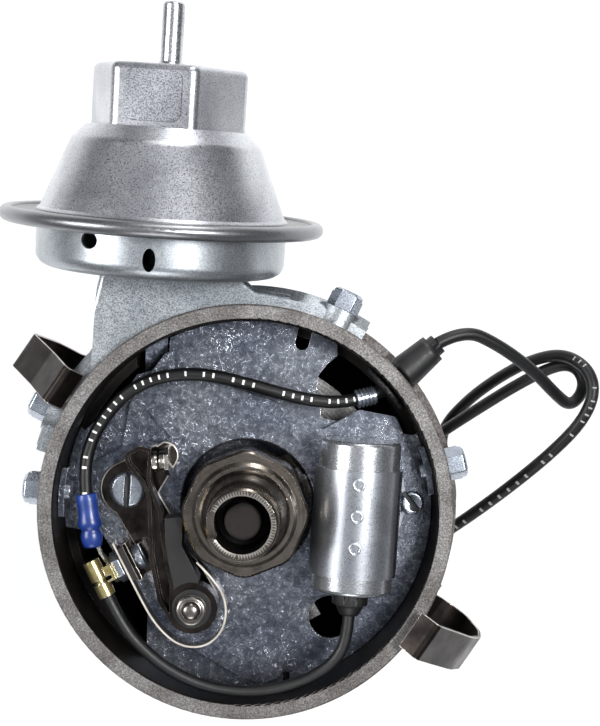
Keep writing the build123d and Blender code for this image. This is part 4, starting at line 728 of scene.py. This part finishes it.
def cam_finish():
    """The cam: a lighter rotor-seat end and edges, worn and with a painted highlight, and a bore
    black with painted shade.
    """
    piece = copied("cam")
    # slot 1 paints shade into the bore; slot 2, lighter steel with a painted highlight, goes on the
    # rotor-seat end and the eased edges
    coated(piece, CAM_STEEL, BORE_PAINTED_SHADE, CAM_EDGE_WEAR_AND_HIGHLIGHT)
    top = max(v.co.z for v in piece.data.vertices)
    bore, lip = 6.3 * MM, 6.7 * MM
    for face in piece.data.polygons:
        reach = math.hypot(face.center.x, face.center.y)
        depth = top - face.center.z
        if reach < bore and depth > 0.3 * MM:
            face.material_index = 1
        elif reach < lip and depth < 0.9 * MM:
            face.material_index = 2
        else:
            face.material_index = 0
    eased(piece, 0.30 * MM)
    smoothed(piece)
    stands_for(piece, "cam")


cam_finish()


def two_tone(node, first, second, chosen, width):
    """A node's copy in two finishes: second goes on the faces that chosen picks by their middle."""
    piece = copied(node, merged=width > 0)
    coated(piece, first, second)
    for face in piece.data.polygons:
        face.material_index = 1 if chosen(face.center) else 0
    if width:
        eased(piece, width * MM)
        smoothed(piece)
    stands_for(piece, node)


shaft_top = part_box("drive_shaft")[1][2]
# the top of the shaft, down inside the cam, takes the bore's painted shade
two_tone("drive_shaft", HARD_STEEL, BORE_PAINTED_SHADE, lambda place: place.z > shaft_top - 4 * MM, 0.15)
two_tone("condenser_strap", STRAP_METAL, ZINC, lambda place: place.x > STRAP_EAR_X * MM, 0.0)

# nodes whose own surfaces are right, given their finish as they are; the diaphragm and its
# spring are copied further on
AS_MODELLED = {
    "vacuum_cup": CUP_STEEL,
    "vacuum_dome": DOME_STEEL,
    "lower_bushing": SINTERED_BRONZE,
    "upper_bushing": SINTERED_BRONZE,
    "diaphragm": BOOT_RUBBER,
    "diaphragm_plates": ZINC,
    "diaphragm_spring": HARD_STEEL,
    "advance_link": ZINC,
    "link_pin": HARD_STEEL,
    "plate_retainer": HARD_STEEL,
    "collar_pin": HARD_STEEL,
    "thrust_washers": SINTERED_BRONZE,
    "governor_plate": ZINC,
    "weight_a": HARD_STEEL,
    "weight_b": HARD_STEEL,
    "governor_springs": HARD_STEEL,
    # the retainer sits in the cam's bore and takes its painted shade
    "cam_retainer": BORE_PAINTED_SHADE,
    "cam_wick": FELT,
}
for node_name, material in AS_MODELLED.items():
    coated(frame["nodes"][node_name], material)

# ---------------------------------------------------------------- screws with painted shade in their slots


def slotted(node, centre, reach, depth):
    """A slotted screw's copy, with painted shade on its slot's floor. All but the node's name is in
    mm.
    """
    piece = copied(node)
    coated(piece, SCREW_ZINC, SLOT_SHADE)
    top = max(v.co.z for v in piece.data.vertices)
    for face in piece.data.polygons:
        away = math.hypot(face.center.x - centre[0] * MM, face.center.y - centre[1] * MM)
        low = face.center.z < top - depth * MM
        in_slot = face.normal.z > 0.9 and away < reach * MM and low
        face.material_index = 1 if in_slot else 0
    smoothed(piece)
    stands_for(piece, node)


slotted("lock_screw", LOCK_SCREW_CENTRE, 4.3, 0.9)
slotted("condenser_screw", CONDENSER_SCREW_CENTRE, 3.4, 0.5)

# ---------------------------------------------------------------- turned and pressed details


def spring_housing_pad():
    """Shallow raised panel with rounded corners on the spring housing's front flat."""
    bpy.ops.object.select_all(action="DESELECT")
    bpy.ops.mesh.primitive_plane_add(size=1)
    piece = bpy.context.active_object
    piece.name = "spring_housing_pad"
    bpy.ops.object.mode_set(mode="EDIT")
    bpy.ops.mesh.select_all(action="SELECT")
    width, height, corner, thickness, sunk = 13.0 * MM, 11.4 * MM, 2.2 * MM, 0.6 * MM, 0.42 * MM
    bpy.ops.transform.resize(value=(width, height, 1), center_override=(0, 0, 0))
    bpy.ops.mesh.bevel(offset=corner, segments=6, affect="VERTICES")
    bpy.ops.mesh.extrude_region_move(TRANSFORM_OT_translate={"value": (0, 0, thickness)})
    bpy.ops.transform.resize(value=(0.95, 0.94, 1), center_override=(0, 0, 0))
    bpy.ops.mesh.select_all(action="SELECT")
    bpy.ops.mesh.normals_make_consistent(inside=False)
    bpy.ops.object.mode_set(mode="OBJECT")
    front = Vector((-math.sin(HEX_TURN), 0, math.cos(HEX_TURN)))
    front = Vector((front.x, -front.z * math.sin(UNIT_TILT), front.z * math.cos(UNIT_TILT)))
    middle = UNIT_START + UNIT_WAY * HEX_MIDDLE + front * (HEX_FLAT - sunk)
    put_at(piece, middle, front)
    coated(piece, PAD_STEEL)
    smoothed(piece)
    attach(piece, "housing")


def condenser_dimples():
    """Three pressed rings along the top of the condenser's strap."""
    strap_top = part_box("condenser_strap")[1][2]
    for number, y in enumerate(DIMPLE_Y):
        bpy.ops.object.select_all(action="DESELECT")
        bpy.ops.mesh.primitive_torus_add(
            major_radius=1.15 * MM, minor_radius=0.26 * MM, major_segments=32, minor_segments=10,
            location=(DIMPLE_X, y * MM, strap_top - 0.12 * MM),
        )
        piece = bpy.context.active_object
        piece.name = "condenser_dimple_%d" % (number + 1)
        bpy.ops.object.transform_apply(location=True, rotation=True, scale=True)
        # the rings take the lighter edge zinc, a painted highlight
        coated(piece, ZINC_SHEARED_EDGE_AND_HIGHLIGHT)
        smoothed(piece)
        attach(piece, "breaker_plate")


def ribbed_ferrule():
    """The crimped sleeve where the inner lead enters the boot."""
    before_boot = Vector((25.18, 26.98, 74.4)) * MM
    way = (before_boot - Vector((19.4, 25.3, 75.2)) * MM).normalized()
    profile = [(1.55, -2.4), (1.95, -2.35)]
    rib_pitch = 0.88
    for rib in range(5):
        start = -2.3 + rib * rib_pitch
        profile += [(2.12, start + 0.12), (2.12, start + 0.46)]
        profile += [(1.80, start + 0.58), (1.80, start + 0.82)]
    profile += [(2.0, 2.1), (1.55, 2.15)]
    piece = turned("lead_ferrule_finished", profile, before_boot, way)
    coated(piece, SCREW_ZINC)
    smoothed(piece, 30)
    stands_for(piece, "lead_ferrule")


def crimped_sleeve():
    """The blue insulating sleeve with its two crimped waists."""
    top = Vector((-35.7, 0.9, 78.0)) * MM
    low = Vector((-33.5, -10.6, 78.0)) * MM
    profile = [
        (2.10, -0.4), (2.30, -0.2), (2.36, 1.0), (2.30, 3.0), (2.34, 4.6), (2.62, 5.6), (2.70, 6.4),
        (2.52, 7.1), (2.10, 7.6), (2.05, 7.9), (2.30, 8.4), (2.44, 9.3), (2.34, 10.3), (2.05, 11.3),
        (1.75, 11.7),
    ]
    piece = turned("terminal_sleeve_finished", profile, top, low - top, flat=0.86)
    coated(piece, BLUE_NYLON)
    smoothed(piece, 60)
    stands_for(piece, "primary_terminal_sleeve")


spring_housing_pad()
condenser_dimples()
ribbed_ferrule()
crimped_sleeve()

# ---------------------------------------------------------------- leads


def in_metres(points):
    """Points given in mm."""
    return [tuple(c * MM for c in p) for p in points]


def smooth_curve(name, points, dimensions, steps):
    """A curve object on a smooth spline through its route's corners."""
    curve = bpy.data.curves.new(name, "CURVE")
    curve.dimensions = dimensions
    spline = curve.splines.new("NURBS")
    spline.points.add(len(points) - 1)
    for corner, place in zip(spline.points, points):
        corner.co = (*place, 1.0)
    spline.order_u = 3
    spline.use_endpoint_u = True
    spline.resolution_u = steps
    piece = bpy.data.objects.new(name, curve)
    bpy.context.scene.collection.objects.link(piece)
    return piece


def lead(name, points, radius, material):
    """A round lead along its route."""
    piece = smooth_curve(name, points, "3D", 12)
    curve = piece.data
    curve.twist_mode = "Z_UP"
    curve.bevel_depth = radius
    curve.bevel_resolution = 6
    curve.use_fill_caps = True
    curve.materials.append(material)
    return piece


def as_mesh(piece):
    """Turns a curve into a mesh in place."""
    take(piece)
    bpy.ops.object.convert(target="MESH")
    return bpy.context.view_layer.objects.active


PRIMARY_LEAD_ROUTE = in_metres([
    (40.37, 40.09, 74.0), (46.2, 43.8, 73.2), (54.8, 40.6, 70.2), (63.6, 35.4, 66.0),
    (70.4, 29.8, 61.0), (74.2, 27.4, 58.0), (77.2, 29.8, 56.0), (78.0, 33.6, 54.6),
    (75.8, 36.8, 53.6), (71.6, 36.8, 52.2), (63.4, 31.4, 48.2), (54.8, 24.4, 43.0),
    (46.4, 17.2, 37.2), (39.6, 10.6, 32.4), (35.6, 2.6, 29.0), (36.6, -6.0, 26.8),
    (43.6, -11.6, 25.2), (51.0, -7.4, 25.0), (52.0, 1.6, 26.2), (48.4, 10.0, 28.0),
    (47.4, 18.0, 30.6), (53.2, 26.2, 35.2), (59.8, 32.8, 42.4), (66.2, 37.6, 49.4),
    (72.4, 39.6, 55.4), (77.4, 36.8, 60.0), (79.2, 31.4, 62.0), (77.2, 24.4, 61.0),
    (71.8, 16.8, 57.8), (64.4, 8.4, 53.2), (56.0, -0.4, 47.2), (48.6, -7.8, 40.6),
    (41.0, -14.6, 34.6), (33.0, -20.6, 29.4), (25.0, -26.8, 24.8),
])
INNER_LEAD_ROUTE = in_metres([
    (-35.7, 0.95, 78.0), (-36.6, 6.6, 77.8), (-35.6, 13.2, 77.2), (-32.6, 19.2, 76.9),
    (-28.4, 24.4, 77.0), (-23.0, 27.8, 77.2), (-16.6, 29.4, 77.3), (-9.8, 29.6, 77.2),
    (-2.2, 28.3, 77.0), (5.6, 26.6, 76.6), (12.6, 25.4, 76.0), (19.4, 25.3, 75.2),
    (25.2, 27.0, 74.4), (28.88, 28.68, 74.0),
])
CONDENSER_LEAD_ROUTE = in_metres([
    (24.45, -21.4, 79.3), (24.45, -26.9, 79.3), (22.2, -32.2, 79.1), (16.9, -36.4, 79.0),
    (10.2, -39.2, 79.2), (2.6, -40.6, 79.0), (-6.0, -40.0, 79.0), (-14.2, -37.0, 79.1),
    (-21.2, -32.2, 78.9), (-26.0, -27.0, 78.7), (-29.44, -21.06, 78.6),
])

OUTER_INSULATION = marked_insulation(
    "marked_outer_insulation", 309 * MM, LEAD_RADIUS, 0.72, "#8d8d8b"
)
INNER_INSULATION = marked_insulation(
    "marked_inner_insulation", 85 * MM, LEAD_RADIUS, 0.0, "#d9d9d6"
)
primary_lead = lead(
    "primary_lead_cord", PRIMARY_LEAD_ROUTE, LEAD_RADIUS, OUTER_INSULATION
)
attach(primary_lead, "housing")
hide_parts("primary_lead")

inner_lead = lead(
    "primary_lead_inside", INNER_LEAD_ROUTE, LEAD_RADIUS, INNER_INSULATION
)
condenser_lead = lead(
    "condenser_lead_cord", CONDENSER_LEAD_ROUTE, CONDENSER_LEAD_RADIUS, LEAD_RUBBER
)

inner_lead = as_mesh(inner_lead)
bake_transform(inner_lead)
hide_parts("primary_lead_inner")
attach(condenser_lead, "breaker_plate")
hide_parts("condenser_lead")

# ---------------------------------------------------------------- the leaf spring, the diaphragm and its spring, and the pivot

ARM_SPRING_ROUTE = in_metres([
    (-29.05, -9.30, 0), (-21.52, -22.40, 0), (-17.4, -27.9, 0), (-12.4, -31.4, 0),
    (-6.6, -31.0, 0), (-2.9, -26.6, 0), (-2.9, -20.2, 0), (-6.6, -15.2, 0), (-10.2, -12.2, 0),
])


def leaf_spring():
    """The arm's leaf spring, from the terminal round the pivot to the rubbing block."""
    low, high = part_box("arm_spring")
    piece = smooth_curve("arm_spring_finished", ARM_SPRING_ROUTE, "2D", 16)
    piece.data.fill_mode = "NONE"
    piece.data.extrude = (high[2] - low[2]) / 2
    piece.location = (0, 0, (high[2] + low[2]) / 2)
    piece = as_mesh(piece)
    bpy.ops.object.transform_apply(location=True, rotation=True, scale=True)
    leaf = piece.modifiers.new("thickness", "SOLIDIFY")
    leaf.thickness = 0.42 * MM
    leaf.offset = 0.0
    bpy.ops.object.modifier_apply(modifier=leaf.name)
    # the leaf's thin top and bottom edges take the lighter edge steel: wear, with a painted
    # highlight
    coated(piece, LEAF_STEEL, ARM_EDGE_WEAR_AND_HIGHLIGHT)
    for face in piece.data.polygons:
        face.material_index = 1 if abs(face.normal.z) > 0.9 else 0
    smoothed(piece)
    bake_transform(piece)
    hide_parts("arm_spring")


def sliding(node):
    """A copy of a node in the node's first material, standing in for the node, which is hidden."""
    piece = copied(node)
    coated(piece, frame["nodes"][node].data.materials[0])
    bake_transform(piece)
    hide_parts(node)


def pivot_dome():
    """The rounded head of the pivot, with the ring that is pressed round it."""
    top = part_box("pivot_post")[1][2]
    profile = [
        (3.1, -0.25), (3.15, 0.05), (2.95, 0.2), (2.5, 0.22), (2.35, 0.05), (2.15, 0.1),
        (1.95, 0.6), (1.5, 1.0), (0.9, 1.2), (0.3, 1.26),
    ]
    centre = (PIVOT_CENTRE[0] * MM, PIVOT_CENTRE[1] * MM, top)
    piece = turned("pivot_dome", profile, centre, (0, 0, 1))
    coated(piece, PIVOT_STEEL)
    smoothed(piece)
    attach(piece, "breaker_plate")


leaf_spring()
sliding("diaphragm_spring")
sliding("diaphragm")
pivot_dome()

# ---------------------------------------------------------------- floor, lamps, camera


def white_floor():
    """A plain white sheet for the part to stand over."""
    bpy.ops.object.select_all(action="DESELECT")
    bpy.ops.mesh.primitive_plane_add(size=6, location=(0, 0, cad_box[0][2] - 2 * MM))
    floor = bpy.context.active_object
    floor.name = "floor"
    bpy.ops.object.transform_apply(location=True, rotation=True, scale=True)
    material, tree, shader, _ = blank("matt_white_paper", 0.0, 0.9)
    shader.inputs["Base Color"].default_value = linear("#f4f4f4")
    glow = add(tree, "ShaderNodeEmission", {"Strength": 1.0})
    path = add(tree, "ShaderNodeLightPath")
    whitened = 0.72                  # the rest of what the camera sees takes the shadow
    share = add(
        tree, "ShaderNodeMath",
        {0: path.outputs["Is Camera Ray"], 1: whitened}, operation="MULTIPLY",
    )
    mix = add(tree, "ShaderNodeMixShader", {0: share, 1: shader.outputs[0], 2: glow})
    tree.links.new(mix.outputs[0], tree.nodes["Material Output"].inputs["Surface"])
    floor.data.materials.append(material)


def soft_lamp(name, place, aim, size, watts):
    """A square soft box aimed at a point."""
    data = bpy.data.lights.new(name, "AREA")
    data.shape = "SQUARE"
    data.size = size
    data.energy = watts
    lamp = bpy.data.objects.new(name, data)
    bpy.context.scene.collection.objects.link(lamp)
    lamp.location = place
    lamp.rotation_euler = (Vector(aim) - Vector(place)).to_track_quat("-Z", "Y").to_euler()


def studio():
    """Soft light from above, from a white tent that is darker towards the table."""
    world = bpy.data.worlds.new("studio_tent")
    bpy.context.scene.world = world
    world.use_nodes = True
    tree = world.node_tree
    air = tree.nodes["Background"]
    way = add(tree, "ShaderNodeTexCoord").outputs["Generated"]
    height = add(tree, "ShaderNodeSeparateXYZ", {"Vector": way}).outputs["Z"]
    tent = add(
        tree, "ShaderNodeValToRGB", {"Fac": height},
        [(0.0, "#8a8d92"), (0.35, "#4c4f54"), (0.75, "#b4b8be"), (1.0, "#dadde2")],
    )
    tree.links.new(tent.outputs[0], air.inputs["Color"])
    air.inputs["Strength"].default_value = 0.62
    bowl = (0, 0.02, 0.06)
    dome = (-0.023, 0.08, 0.08)
    lamps = (
        ("right_box", (0.34, 0.12, 0.80), bowl, 0.22, 7.0),
        ("left_box", (-0.60, 0.05, 0.60), bowl, 0.34, 5.0),
        ("low_box", (0.0, -0.75, 0.50), bowl, 0.40, 2.5),
        ("back_box", (0.1, 0.80, 0.50), bowl, 0.40, 2.5),
        ("far_strip", (0.09, 0.62, 0.19), dome, 0.11, 1.0),
    )
    for name, place, aim, size, watts in lamps:
        soft_lamp(name, place, aim, size, watts)


def set_camera():
    """The view straight down the shaft."""
    data = bpy.data.cameras.new("view_from_above")
    data.sensor_width = 36.0
    data.lens = FOCAL_PIXELS * data.sensor_width / PICTURE[1]
    data.clip_start = 0.01
    data.clip_end = 20
    camera = bpy.data.objects.new("view_from_above", data)
    bpy.context.scene.collection.objects.link(camera)
    right = CAMERA_RIGHT.normalized()
    up = CAMERA_UP.normalized()
    back = right.cross(up)
    camera.matrix_world = Matrix(
        (
            (right.x, up.x, back.x, CAMERA_PLACE.x),
            (right.y, up.y, back.y, CAMERA_PLACE.y),
            (right.z, up.z, back.z, CAMERA_PLACE.z),
            (0, 0, 0, 1),
        )
    )
    bpy.context.scene.camera = camera


white_floor()
studio()
set_camera()

bpy.context.scene.view_settings.view_transform = "Standard"
